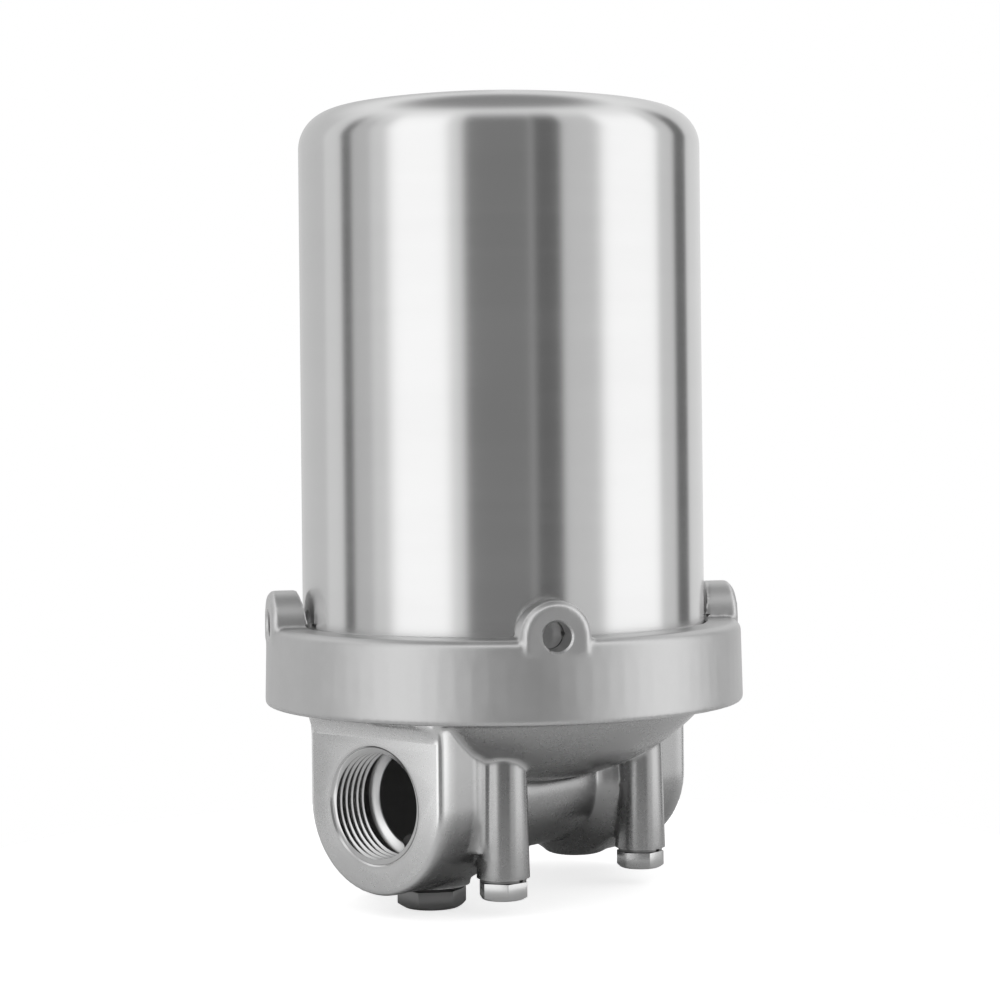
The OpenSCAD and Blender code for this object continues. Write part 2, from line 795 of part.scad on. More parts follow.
// Tube with rows of windows, each cut going through both sides
module windowed_tube(out_r, wall, columns, gap_share) {
    pitch = media_h / window_rows;
    opening_w = 2 * out_r * sin(180 / columns) * gap_share;
    opening_share = 0.7;
    difference() {
        translate([0, 0, media_z]) ring(out_r, out_r - wall, media_h);
        for (row = [0:window_rows - 1], turn = [0:columns / 2 - 1])
            rotate([0, 0, turn * 360 / columns])
            translate([0, 0, media_z + (row + 0.5) * pitch])
            cube([2 * out_r + over, opening_w, opening_share * pitch], center = true);
    }
}

module cartridge_core() {
    color("white") windowed_tube(bore_r + core_wall, core_wall, 8, 0.6);
}

module cartridge_cage() {
    color("white") windowed_tube(cage_r, cage_wall, 16, 0.72);
}

// Folded sheet: a zigzag of even thickness that closes on itself
module pleated_media() {
    count = 2 * pleat_count;
    half = pleat_sheet / 2;
    fold_lap = 3.2;
    function fold(i, shift) =
        let (r = i % 2 == 0 ? media_out_r - half + shift : media_in_r + half + shift)
        let (a = 180 * i / pleat_count)
        [r * cos(a), r * sin(a)];
    color("ivory")
    translate([0, 0, media_z])
        linear_extrude(media_h)
        difference() {
            polygon([for (i = [0:count - 1]) fold(i, half)]);
            polygon([for (i = [0:count - 1]) fold(i, i % 2 == 0 ? -fold_lap * half : -half)]);
        }
}

// End cap: a disc with a bore and a low rim that holds the cage
module end_cap() {
    difference() {
        union() {
            cylinder(r = cart_r, h = cap_t);
            ring(cart_r, cart_r - cap_rim_w, cap_t + cap_rim_h);
        }
        translate([0, 0, -over]) cylinder(r = bore_r, h = cap_t + 2 * over);
    }
}

module bottom_end_cap() {
    color("white") translate([0, 0, lower_cap_z]) end_cap();
}

module top_end_cap() {
    color("white") translate([0, 0, cart_top_z - gasket_t]) mirror([0, 0, 1]) end_cap();
}

module bottom_gasket() {
    color("black") translate([0, 0, seat_z]) ring(gasket_out_r, gasket_in_r, gasket_t);
}

module top_gasket() {
    color("black")
    translate([0, 0, cart_top_z - gasket_t]) ring(gasket_out_r, gasket_in_r, gasket_t);
}

head();
bell_seal();
seat_spigot();
spigot_seal();
mounting_bolts();
spring_washers();
drain_seal();
drain_plug();
bell();
bell_flange();
spring_cup();
hold_down_spring();
spring_plate();
plate_spigot();
slip_washer();
ring_nut();
cartridge_core();
pleated_media();
cartridge_cage();
top_end_cap();
bottom_end_cap();
top_gasket();
bottom_gasket();
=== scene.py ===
"""Filter housing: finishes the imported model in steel, rubber and plastic and sets up the studio."""
import logging
import math
from dataclasses import dataclass
from enum import Enum
from typing import Iterable, Sequence

import bmesh
import bpy
import numpy as np
from mathutils import Matrix, Vector


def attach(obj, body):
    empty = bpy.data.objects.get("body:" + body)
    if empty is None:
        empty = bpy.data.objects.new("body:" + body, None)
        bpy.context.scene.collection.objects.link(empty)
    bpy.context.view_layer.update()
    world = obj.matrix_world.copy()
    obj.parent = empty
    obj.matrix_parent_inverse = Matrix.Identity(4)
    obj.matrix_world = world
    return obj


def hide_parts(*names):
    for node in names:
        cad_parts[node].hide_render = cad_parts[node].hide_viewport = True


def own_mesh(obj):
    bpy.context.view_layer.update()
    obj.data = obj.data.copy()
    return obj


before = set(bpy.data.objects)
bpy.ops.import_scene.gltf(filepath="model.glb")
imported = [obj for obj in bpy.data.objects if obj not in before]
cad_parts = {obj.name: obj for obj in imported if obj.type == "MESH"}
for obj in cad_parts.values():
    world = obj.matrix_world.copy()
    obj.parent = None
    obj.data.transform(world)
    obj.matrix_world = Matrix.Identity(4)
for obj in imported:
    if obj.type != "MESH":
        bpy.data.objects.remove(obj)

LOG = logging.getLogger("filter_housing")
MM = 0.001
# Attribute that marks faces looking down; the cast finish paints shade on them.
UNDERSIDE_SHADE = "looks_down"
WORN = "worn_edge"
WEAR_START = 0.05
WEAR_SPAN = 0.12
INCH_PITCH_14 = 25.4 / 14
INCH_PITCH_19 = 25.4 / 19
POST_SPOTS = ((-26.0, -21.0), (26.0, -21.0), (26.0, 21.0), (-26.0, 21.0))
DRAIN_X = -27.0

Point = tuple[float, float]
Outline = tuple[tuple[float, ...], ...]
Piece = bpy.types.Object
Finish = bpy.types.Material


class Body(Enum):
    """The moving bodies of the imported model."""

    HEAD = "head"
    BELL = "bell"
    SPRING_PLATE = "spring_plate"
    SLIP_WASHER = "slip_washer"
    RING_NUT = "ring_nut"
    CARTRIDGE = "cartridge"
    DRAIN_SEAL = "drain_seal"
    DRAIN_PLUG = "drain_plug"


class Grain(Enum):
    """How a metal was worked: repeats per metre of its fine grain and of its broad cloudiness."""

    BRUSHED_ROUND = ((14, 14, 5200), (9, 9, 60))
    CAST = ((900, 900, 900), (70, 70, 70))
    BLASTED = ((3800, 3800, 3800), (120, 120, 120))
    TURNED = ((1500, 1500, 5200), (120, 120, 120))


class Signal:
    """A socket of a node tree that takes part in Python arithmetic."""

    def __init__(self, graph: "Graph", socket: bpy.types.NodeSocket) -> None:
        """Note the tree that new nodes are added to and the output that carries the value."""
        self.graph = graph
        self.socket = socket

    def maths(self, operation: str, *others: "Signal | float") -> "Signal":
        """The result of a Math node's operation on this value and the others."""
        return self.graph.maths(operation, self, *others)

    def __add__(self, other: "Signal | float") -> "Signal":
        """Sum."""
        return self.maths("ADD", other)

    __radd__ = __add__

    def __mul__(self, other: "Signal | float") -> "Signal":
        """Product."""
        return self.maths("MULTIPLY", other)

    __rmul__ = __mul__

    def __sub__(self, other: "Signal | float") -> "Signal":
        """Difference."""
        return self.maths("SUBTRACT", other)

    def __rsub__(self, other: float) -> "Signal":
        """Difference from a number."""
        return self.graph.maths("SUBTRACT", other, self)

    def smooth_step(self, low: float, high: float) -> "Signal":
        """Args:
            low: where the step starts, at 0.
            high: where the step ends, at 1.

        Returns:
            The smooth step of this value.
        """
        inputs = {"Value": self, "From Min": low, "From Max": high}
        return self.graph.take(
            "Result", "ShaderNodeMapRange", inputs, {"interpolation_type": "SMOOTHSTEP"}
        )


def faded(value: Signal | float, target: Signal | float, share: Signal) -> Signal:
    """The value where the share is 0 and the target where it is 1."""
    return share * (target - value) + value


class Graph:
    """A shader or geometry node tree that is built from Python."""

    def __init__(self, tree: bpy.types.NodeTree) -> None:
        """Empty the tree that is to be filled."""
        self.tree = tree
        tree.nodes.clear()

    def node(
        self,
        kind: str,
        inputs: dict[str, object] | None = None,
        settings: dict[str, object] | None = None,
    ) -> bpy.types.Node:
        """Add a node, choose its settings and then fill its sockets.

        Args:
            kind: the node's type name.
            inputs: values or signals by socket identifier or name.
            settings: attributes that are set first.

        Returns:
            The node.
        """
        made = self.tree.nodes.new(kind)
        for key, value in (settings or {}).items():
            setattr(made, key, value)
        for key, value in (inputs or {}).items():
            self.feed(self.find(made.inputs, key), value)
        return made

    def take(
        self,
        output: str,
        kind: str,
        inputs: dict[str, object] | None = None,
        settings: dict[str, object] | None = None,
    ) -> Signal:
        """Add a node and take one of its outputs.

        Args:
            output: the output's identifier or name.
            kind: the node's type name.
            inputs: values or signals by socket identifier or name.
            settings: attributes that are set first.

        Returns:
            The output as a signal.
        """
        return self.out(self.node(kind, inputs, settings), output)

    @staticmethod
    def find(sockets: Iterable[bpy.types.NodeSocket], key: str) -> bpy.types.NodeSocket:
        """Args:
            sockets: a node's inputs or outputs.
            key: the identifier or name that is wanted.

        Returns:
            The socket.
        """
        enabled = [s for s in sockets if s.enabled]
        for naming in ("identifier", "name"):
            for socket in enabled:
                if getattr(socket, naming) == key:
                    return socket
        raise KeyError(f"no socket {key!r} among {[s.identifier for s in enabled]}")

    def feed(self, socket: bpy.types.NodeSocket, value: object) -> None:
        """Args:
            socket: the input to fill.
            value: a signal to link or a constant to set.
        """
        if isinstance(value, Signal):
            self.tree.links.new(value.socket, socket)
        else:
            socket.default_value = value

    def out(self, node: bpy.types.Node, key: str) -> Signal:
        """The output of a node with this identifier or name."""
        return Signal(self, self.find(node.outputs, key))

    def maths(self, operation: str, *values: Signal | float) -> Signal:
        """Args:
            operation: the Math node's operation.
            values: one to three values.

        Returns:
            The result.
        """
        node = self.node("ShaderNodeMath", settings={"operation": operation})
        for socket, value in zip(node.inputs, values):
            self.feed(socket, value)
        return self.out(node, "Value")


@dataclass(frozen=True)
class Hollow:
    """A round passage along X with a tone of its own, in metres; in the relief groove and the waterway that
    tone is painted shade.
    """

    height: float
    radius: float
    reach: float
    tone: float
    roughness: float
    soft: float = 0.0003
    soft_end: float = 0.0004


PORT_MOUTH = Hollow(0.0255, 0.0142, 0.047, 0.74, 0.2)
# Painted shade in the relief groove behind the thread.
PORT_RELIEF_SHADE = Hollow(0.0255, 0.0142, 0.0357, 0.1, 0.5)
PORT_LEDGE = Hollow(0.0255, 0.0135, 0.0357, 0.92, 0.3)
# Painted shade deep in the waterway.
WATERWAY_SHADE = Hollow(0.0255, 0.0116, 0.0323, 0.33, 0.6)


class Paint(Graph):
    """The node tree of one surface material."""

    def __init__(self, name: str) -> None:
        """Args:
            name: the material's name.
        """
        self.material = bpy.data.materials.new(name)
        self.material.use_nodes = True
        super().__init__(self.material.node_tree)
        self.place = self.take("Object", "ShaderNodeTexCoord")

    def noise(self, scale: Sequence[float], detail: float, roughness: float = 0.5) -> Signal:
        """Args:
            scale: how often the pattern repeats along X, Y and Z, per metre.
            detail: number of octaves.
            roughness: strength of the finer octaves.

        Returns:
            Noise about 0.5.
        """
        where = self.take("Vector", "ShaderNodeMapping", {"Vector": self.place, "Scale": tuple(scale)})
        inputs = {"Vector": where, "Scale": 1.0, "Detail": detail, "Roughness": roughness}
        return self.take("Fac", "ShaderNodeTexNoise", inputs)

    def blend(
        self, share: Signal, first: Sequence[float] | Signal, second: Sequence[float] | Signal
    ) -> Signal:
        """Args:
            share: 0 for the first colour, 1 for the second.
            first: a colour.
            second: another colour.

        Returns:
            The mixed colour.
        """
        colours = [c if isinstance(c, Signal) else (*c, 1.0) for c in (first, second)]
        inputs = {"Factor_Float": share, "A_Color": colours[0], "B_Color": colours[1]}
        return self.take("Result_Color", "ShaderNodeMix", inputs, {"data_type": "RGBA"})

    def axes(self) -> list[Signal]:
        """The place along X, Y and Z."""
        split = self.node("ShaderNodeSeparateXYZ", {"Vector": self.place})
        return [self.out(split, axis) for axis in "XYZ"]

    def inside(self, hollow: Hollow) -> Signal:
        """Args:
            hollow: a passage along X.

        Returns:
            1 inside the passage and 0 outside it.
        """
        along, across, up = self.axes()
        rise = up - hollow.height
        distance = (across * across + rise * rise).maths("SQRT")
        radius, reach, soft = hollow.radius, hollow.reach, hollow.soft
        within = 1 - distance.smooth_step(radius - soft, radius + soft)
        return within * (1 - along.maths("ABSOLUTE").smooth_step(reach - hollow.soft_end, reach))

    @staticmethod
    def beyond(along: Signal, distance: float, soft: float) -> Signal:
        """Args:
            along: the place along one axis.
            distance: distance from the middle along that axis, in metres.
            soft: half the width of the change.

        Returns:
            0 nearer the middle and 1 farther out.
        """
        return along.maths("ABSOLUTE").smooth_step(distance - soft, distance + soft)

    def mark(self, name: str) -> Signal:
        """The value of an attribute of the piece, 0 to 1."""
        return self.take("Fac", "ShaderNodeAttribute", settings={"attribute_name": name})

    def relief(self, height: Signal, depth: float) -> Signal:
        """The normal that a height pattern of 0 to 1 bumps by a depth in metres."""
        return self.take("Normal", "ShaderNodeBump", {"Height": height, "Distance": depth, "Strength": 1.0})

    def finish(self, sockets: dict[str, Signal | float]) -> Finish:
        """Args:
            sockets: numbers that are the same all over, and signals that change over the surface.

        Returns:
            The finished material.
        """
        surface = self.take("BSDF", "ShaderNodeBsdfPrincipled", sockets)
        self.node("ShaderNodeOutputMaterial", {"Surface": surface})
        return self.material


def grey(level: float) -> tuple[float, float, float]:
    """A neutral colour of this linear brightness."""
    return (level, level, level)


@dataclass(frozen=True)
class SteelFinish:
    """A bare metal surface: its tone, its gloss and the marks of its working; on the casting also painted
    shade on the undersides, in the relief groove and in the waterway, and a darker tone between the ports
    that is partly painted shade.
    """

    name: str
    tone: float
    roughness: float
    grain: Grain
    relief: float
    spread: float = 0.06
    anisotropy: float = 0.0
    turn: float = 0.25
    # Darker tone of the walls between the ports: partly the unpolished casting's own tone, partly painted
    # shade.
    raw_and_shade_tone: float | None = None
    raw_and_shade_reach: float = 0.0435
    raw_and_shade_soft: float = 0.003
    # Painted shade on the faces that look down, kept off the port faces.
    underside_shade_tone: float = 0.22
    underside_shade_reach: float = 0.0459
    underside_shade_soft: float = 0.0004
    # The dish's undersides get a lighter painted shade and the pads' tone, as painted light.
    dish_shade_tone: float = 0.42
    dish_height: float = 0.0285
    dish_soft: float = 0.0015
    edge_tone: float | None = None
    broad_gloss: float = 0.08
    fine_gloss: float = 0.06
    hollows: tuple[Hollow, ...] = ()

    def pair(self, tone: float) -> tuple[Sequence[float], Sequence[float]]:
        """The darkest and the lightest grey of the clouds round a tone."""
        return grey(tone - self.spread), grey(tone + self.spread)

    def raw_and_shade(self, paint: Paint, share: Signal, polished_and_lit_tone: Signal) -> Signal:
        """Args:
            paint: the material's tree.
            share: the cloudiness.
            polished_and_lit_tone: the tone of the polished pads, which the dish's undersides also get as
                painted light.

        Returns:
            The tone with the walls between the ports darker, partly the unpolished casting's own tone and
            partly painted shade, with painted shade on the faces that look down, lighter on the dish.
        """
        along, _, up = paint.axes()
        # Unpolished walls between the ports, darkened partly as painted shade.
        raw_and_shade = paint.blend(share, *self.pair(self.raw_and_shade_tone))
        below = paint.mark(UNDERSIDE_SHADE)
        # The dish, whose undersides get painted light: the pads' tone and a lighter shade.
        dish = below.smooth_step(0.1, 0.3) * paint.beyond(up, self.dish_height, self.dish_soft)
        polished_and_lit = paint.beyond(along, self.raw_and_shade_reach, self.raw_and_shade_soft).maths("MAXIMUM", dish)
        under = paint.blend(dish, grey(self.underside_shade_tone), grey(self.dish_shade_tone))
        # Painted shade on the faces that look down, in the colour under, kept off the port faces.
        below = below * (1 - paint.beyond(along, self.underside_shade_reach, self.underside_shade_soft))
        return paint.blend(below, paint.blend(polished_and_lit, raw_and_shade, polished_and_lit_tone), under)

    def material(self) -> Finish:
        """Returns:
            The material.
        """
        paint = Paint(self.name)
        fine_scale, broad_scale = self.grain.value
        fine = paint.noise(fine_scale, 3.0, 0.6)
        broad = paint.noise(broad_scale, 4.0, 0.55)
        clouds = broad.smooth_step(0.3, 0.7)
        share = clouds * 0.7 + fine * 0.3
        tone = paint.blend(share, *self.pair(self.tone))
        gloss = (broad - 0.5) * self.broad_gloss + (fine - 0.5) * self.fine_gloss + self.roughness
        # Darker walls between the ports, partly painted shade, and painted shade on the undersides.
        if self.raw_and_shade_tone is not None:
            tone = self.raw_and_shade(paint, share, tone)
        if self.edge_tone is not None:
            worn = paint.mark(WORN) * (clouds * 0.4 + 0.6)
            tone = paint.blend(worn, tone, grey(self.edge_tone))
            gloss = faded(gloss, self.roughness * 0.7, worn)
        # Passage tones: the machined mouth and ledge keep their own, the relief groove and the waterway get
        # painted shade.
        for hollow in self.hollows:
            inside = paint.inside(hollow)
            tone = paint.blend(inside, tone, grey(hollow.tone))
            gloss = faded(gloss, hollow.roughness, inside)
        return paint.finish(
            {
                "Metallic": 1.0,
                "Anisotropic": self.anisotropy,
                "Anisotropic Rotation": self.turn,
                "Base Color": tone,
                "Roughness": gloss,
                "Normal": paint.relief(fine, self.relief),
            }
        )


@dataclass(frozen=True)
class MouldedFinish:
    """Rubber or plastic out of a mould, with a fine matt texture."""

    name: str
    colour: tuple[float, float, float]
    roughness: float
    spread: float = 0.02
    grain_size: float = 0.0003
    relief: float = 0.00001
    subsurface: float = 0.0

    def material(self) -> Finish:
        """Returns:
            The material.
        """
        paint = Paint(self.name)
        fine = paint.noise([1 / self.grain_size] * 3, 3.0)
        broad = paint.noise([90] * 3, 3.0)
        low = tuple(max(0.0, c - self.spread) for c in self.colour)
        high = tuple(min(1.0, c + self.spread) for c in self.colour)
        return paint.finish(
            {
                "Subsurface Weight": self.subsurface,
                "Subsurface Scale": 0.001,
                "Base Color": paint.blend(broad.smooth_step(0.3, 0.7), low, high),
                "Roughness": (fine - 0.5) * 0.15 + self.roughness,
                "Normal": paint.relief(fine, self.relief),
            }
        )


@dataclass(frozen=True)
class FeltFinish:
    """Melt-blown filter sheet: white fibres laid at random."""

    name: str
    shade: tuple[float, float, float] = (0.76, 0.75, 0.70)
    light: tuple[float, float, float] = (0.92, 0.91, 0.87)
    relief: float = 0.00006

    def material(self) -> Finish:
        """Returns:
            The material.
        """
        paint = Paint(self.name)
        along = paint.noise((2600, 2600, 400), 4.0, 0.7)
        across = paint.noise((700, 700, 2400), 4.0, 0.7)
        fibres = paint.maths("MAXIMUM", along, across)
        return paint.finish(
            {
                "Sheen Weight": 0.25,
                "Base Color": paint.blend(fibres.smooth_step(0.35, 0.75), self.shade, self.light),
                "Roughness": (fibres - 0.5) * 0.1 + 0.85,
                "Normal": paint.relief(fibres, self.relief),
            }
        )


class Finishes:
    """Every finish of the housing, each made once."""

    def __init__(self) -> None:
        """Make the materials."""
        # The cast finish paints shade on its undersides, partly between the ports, in the relief groove and
        # in the waterway.
        self.cast = SteelFinish(
            "cast_steel", 0.80, 0.27, Grain.CAST, 0.000004, 0.02, raw_and_shade_tone=0.47, edge_tone=0.88,
            hollows=(PORT_MOUTH, PORT_RELIEF_SHADE, PORT_LEDGE, WATERWAY_SHADE),
        ).material()
        self.bell = SteelFinish(
            "brushed_bell", 0.70, 0.21, Grain.BRUSHED_ROUND, 0.0000012, 0.02, 0.8
        ).material()
        self.nut = SteelFinish(
            "blasted_nut", 0.62, 0.38, Grain.BLASTED, 0.000008, 0.02, 0.6, turn=0.0, edge_tone=0.82
        ).material()
        self.turned = SteelFinish("turned_steel", 0.66, 0.20, Grain.TURNED, 0.000002, 0.02).material()
        self.bolt = SteelFinish("bright_bolt", 0.68, 0.26, Grain.CAST, 0.00001, 0.04).material()
        self.plug = SteelFinish("dark_plug", 0.30, 0.34, Grain.CAST, 0.00001, 0.03).material()
        self.wire = SteelFinish("spring_wire", 0.46, 0.3, Grain.TURNED, 0.000003, 0.04).material()
        self.rubber = MouldedFinish("seal_rubber", (0.03, 0.03, 0.03), 0.55, 0.008).material()
        self.gasket = MouldedFinish("gasket_rubber", (0.06, 0.06, 0.06), 0.7, 0.01).material()
        self.slippery = MouldedFinish("washer_plastic", (0.82, 0.82, 0.78), 0.35).material()
        self.plastic = MouldedFinish(
            "cartridge_plastic", (0.85, 0.86, 0.84), 0.42, 0.02, subsurface=0.1
        ).material()
        self.felt = FeltFinish("filter_sheet").material()


def rounded(*corners: tuple[float, ...], steps: int = 6) -> list[Point]:
    """Round the corners of a closed outline.

    Args:
        corners: each corner's distance from the axis, height and, if it has one, rounding, in millimetres.
        steps: number of segments in each rounding.

    Returns:
        The outline's points in metres.
    """
    points: list[Point] = []
    for index, (across, height, *rounding) in enumerate(corners):
        here = Vector((across, height))
        if not rounding:
            points.append((here.x * MM, here.y * MM))
            continue
        back = Vector(corners[index - 1][:2]) - here
        ahead = Vector(corners[(index + 1) % len(corners)][:2]) - here
        half = back.angle(ahead) / 2
        reach = min(rounding[0] / math.tan(half), 0.49 * back.length, 0.49 * ahead.length)
        radius = reach * math.tan(half)
        middle = (back.normalized() + ahead.normalized()).normalized()
        centre = here + middle * (radius / math.sin(half))
        start = here + back.normalized() * reach - centre
        end = here + ahead.normalized() * reach - centre
        first = math.atan2(start.y, start.x)
        sweep = math.remainder(math.atan2(end.y, end.x) - first, 2 * math.pi)
        for step in range(steps + 1):
            angle = first + sweep * step / steps
            x, y = centre.x + radius * math.cos(angle), centre.y + radius * math.sin(angle)
            points.append((x * MM, y * MM))
    return points


def put(name: str, mesh: bpy.types.Mesh) -> Piece:
    """Args:
        name: the new object's name.
        mesh: its mesh.

    Returns:
        The object, linked to the scene.
    """
    made = bpy.data.objects.new(name, mesh)
    bpy.context.scene.collection.objects.link(made)
    return made


def drop(piece: Piece) -> None:
    """Remove a helper object that is no longer needed."""
    bpy.data.objects.remove(piece, do_unlink=True)


def from_bmesh(name: str, shape: bmesh.types.BMesh, clean: bool = True) -> Piece:
    """Args:
        name: the new object's name.
        shape: the mesh data, freed here.
        clean: merge doubles and turn the faces outwards.

    Returns:
        The object.
    """
    if clean:
        bmesh.ops.remove_doubles(shape, verts=shape.verts, dist=0.000001)
        bmesh.ops.dissolve_degenerate(shape, edges=shape.edges, dist=0.0000005)
        bmesh.ops.recalc_face_normals(shape, faces=shape.faces)
    mesh = bpy.data.meshes.new(name)
    shape.to_mesh(mesh)
    shape.free()
    return put(name, mesh)


def polar(shape: bmesh.types.BMesh, r: float, angle: float, z: float) -> bmesh.types.BMVert:
    """A new corner at this distance from the axis, angle and height, in metres."""
    return shape.verts.new((r * math.cos(angle), r * math.sin(angle), z))


def lathe(name: str, outline: Sequence[Point], segments: int = 192, move: Matrix | None = None) -> Piece:
    """Turn a closed outline round the Z axis.

    Args:
        name: the piece's name.
        outline: points (radius, height) in metres.
        segments: number of steps round the axis.
        move: where the turned shape goes.

    Returns:
        The piece.
    """
    shape = bmesh.new()
    rings = []
    for step in range(segments):
        angle = 2 * math.pi * step / segments
        rings.append([polar(shape, r, angle, z) for r, z in outline])
    count = len(outline)
    for step, ring in enumerate(rings):
        following = rings[(step + 1) % segments]
        for index in range(count):
            after = (index + 1) % count
            if outline[index][0] < 1e-9 and outline[after][0] < 1e-9:
                continue
            shape.faces.new((ring[index], following[index], following[after], ring[after]))
    if move is not None:
        bmesh.ops.transform(shape, matrix=move, verts=shape.verts)
    return from_bmesh(name, shape)


def washer_ring(
    name: str,
    radii: tuple[float, float],
    heights: tuple[float, float],
    edge: float,
    segments: int,
    steps: int = 6,
    move: Matrix | None = None,
) -> Piece:
    """A ring of rectangular section with rounded edges. Sizes in millimetres.

    Args:
        name: the piece's name.
        radii: inner and outer radius.
        heights: height of its underside and of its top.
        edge: rounding of its edges.
        segments: number of steps round the axis.
        steps: number of segments in each rounding.
        move: where the ring goes.

    Returns:
        The ring.
    """
    (inner, outer), (low, high) = radii, heights
    corners = ((inner, low, edge), (outer, low, edge), (outer, high, edge), (inner, high, edge))
    return lathe(name, rounded(*corners, steps=steps), segments, move)


def bar(shape: bmesh.types.BMesh, sections: Sequence[Sequence[bmesh.types.BMVert]]) -> None:
    """Join rings of corners into a closed bar.

    Args:
        shape: the mesh that holds the corners.
        sections: rings with the same number of corners.
    """
    count = len(sections[0])
    for first, second in zip(sections, sections[1:]):
        for index in range(count):
            after = (index + 1) % count
            shape.faces.new((first[index], first[after], second[after], second[index]))
    shape.faces.new(list(sections[0])[::-1])
    shape.faces.new(list(sections[-1]))


def merged_copy(node: str) -> Piece:
    """Args:
        node: a CAD node.

    Returns:
        A copy of its mesh with its loose triangles joined.
    """
    shape = bmesh.new()
    shape.from_mesh(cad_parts[node].data)
    bmesh.ops.remove_doubles(shape, verts=shape.verts, dist=0.000002)
    return from_bmesh(node + "_copy", shape, clean=False)


def baked(piece: Piece) -> Piece:
    """Args:
        piece: an object with modifiers.

    Returns:
        A plain object with the modifiers' result as its mesh.
    """
    depsgraph = bpy.context.evaluated_depsgraph_get()
    depsgraph.update()
    mesh = bpy.data.meshes.new_from_object(piece.evaluated_get(depsgraph), depsgraph=depsgraph)
    name = piece.name
    drop(piece)
    mesh.name = name
    return put(name, mesh)


def carved(piece: Piece, tools: Sequence[Piece], operation: str = "DIFFERENCE") -> Piece:
    """Args:
        piece: the closed mesh to work on.
        tools: closed meshes that are cut away or kept to, and then removed.
        operation: DIFFERENCE or INTERSECT.

    Returns:
        The result as a plain object.
    """
    for tool in tools:
        modifier = piece.modifiers.new("carve", "BOOLEAN")
        modifier.operation = operation
        modifier.solver = "MANIFOLD"
        modifier.object = tool
    result = baked(piece)
    for tool in tools:
        drop(tool)
    return result


def joined(name: str, pieces: Sequence[Piece]) -> Piece:
    """Args:
        name: the joined object's name.
        pieces: objects whose meshes are put in one, and then removed.

    Returns:
        The object.
    """
    shape = bmesh.new()
    for piece in pieces:
        shape.from_mesh(piece.data)
    for piece in pieces:
        drop(piece)
    return from_bmesh(name, shape, clean=False)


def softened(piece: Piece, voxel: float, rounds: int, swell: float = 0.0) -> Piece:
    """Melt a hard-edged solid into the soft form of a casting.

    Args:
        piece: closed meshes, which may overlap.
        voxel: grid size in millimetres.
        rounds: number of smoothing passes.
        swell: how far the surface then moves out, in millimetres, to make up for the smoothing.

    Returns:
        The soft solid.
    """
    remesh = piece.modifiers.new("cast", "REMESH")
    remesh.mode = "VOXEL"
    remesh.voxel_size = voxel * MM
    smooth = piece.modifiers.new("polish", "SMOOTH")
    smooth.factor = 0.5
    smooth.iterations = rounds
    grow = piece.modifiers.new("swell", "DISPLACE")
    grow.mid_level = 0.0
    grow.strength = swell * MM
    return baked(piece)


def rod(name: str, radius: float, low: Vector, high: Vector, segments: int = 128) -> Piece:
    """A closed cylinder between two points, for cutting and filling. Sizes in millimetres.

    Args:
        name: the object's name.
        radius: its radius.
        low: one end.
        high: the other end.
        segments: number of sides.

    Returns:
        The cylinder.
    """
    axis = high - low
    turn = Vector((0, 0, 1)).rotation_difference(axis).to_matrix().to_4x4()
    outline = rounded((0, 0), (radius, 0), (radius, axis.length), (0, axis.length))
    return lathe(name, outline, segments, Matrix.Translation(low * MM) @ turn)


def standing_rod(name: str, radius: float, spot: Point, low: float, high: float) -> Piece:
    """An upright cylinder at a spot, from one height to another, in millimetres."""
    return rod(name, radius, Vector((*spot, low)), Vector((*spot, high)))


def block(name: str, middle: Vector, size: tuple[float, float, float]) -> Piece:
    """A box for cutting and filling. Sizes in millimetres.

    Args:
        name: the object's name.
        middle: its centre.
        size: its size along X, Y and Z.

    Returns:
        The box.
    """
    shape = bmesh.new()
    place = Matrix.Translation(middle * MM) @ Matrix.Diagonal((*(side * MM for side in size), 1.0))
    bmesh.ops.create_cube(shape, size=1.0, matrix=place)
    return from_bmesh(name, shape)


def lifted(height: float) -> Matrix:
    """The move up the Z axis to a height in millimetres."""
    return Matrix.Translation((0, 0, height * MM))


def read(items: Sequence[object], attribute: str, width: int = 1, kind: type = np.float64) -> np.ndarray:
    """Args:
        items: the corners, points, edges or faces of a mesh.
        attribute: what is read of each.
        width: how many numbers it has.
        kind: the type of the numbers.

    Returns:
        The numbers, one row for each item where it has several.
    """
    values = np.empty(len(items) * width, dtype=kind)
    items.foreach_get(attribute, values)
    return values.reshape(-1, width) if width > 1 else values


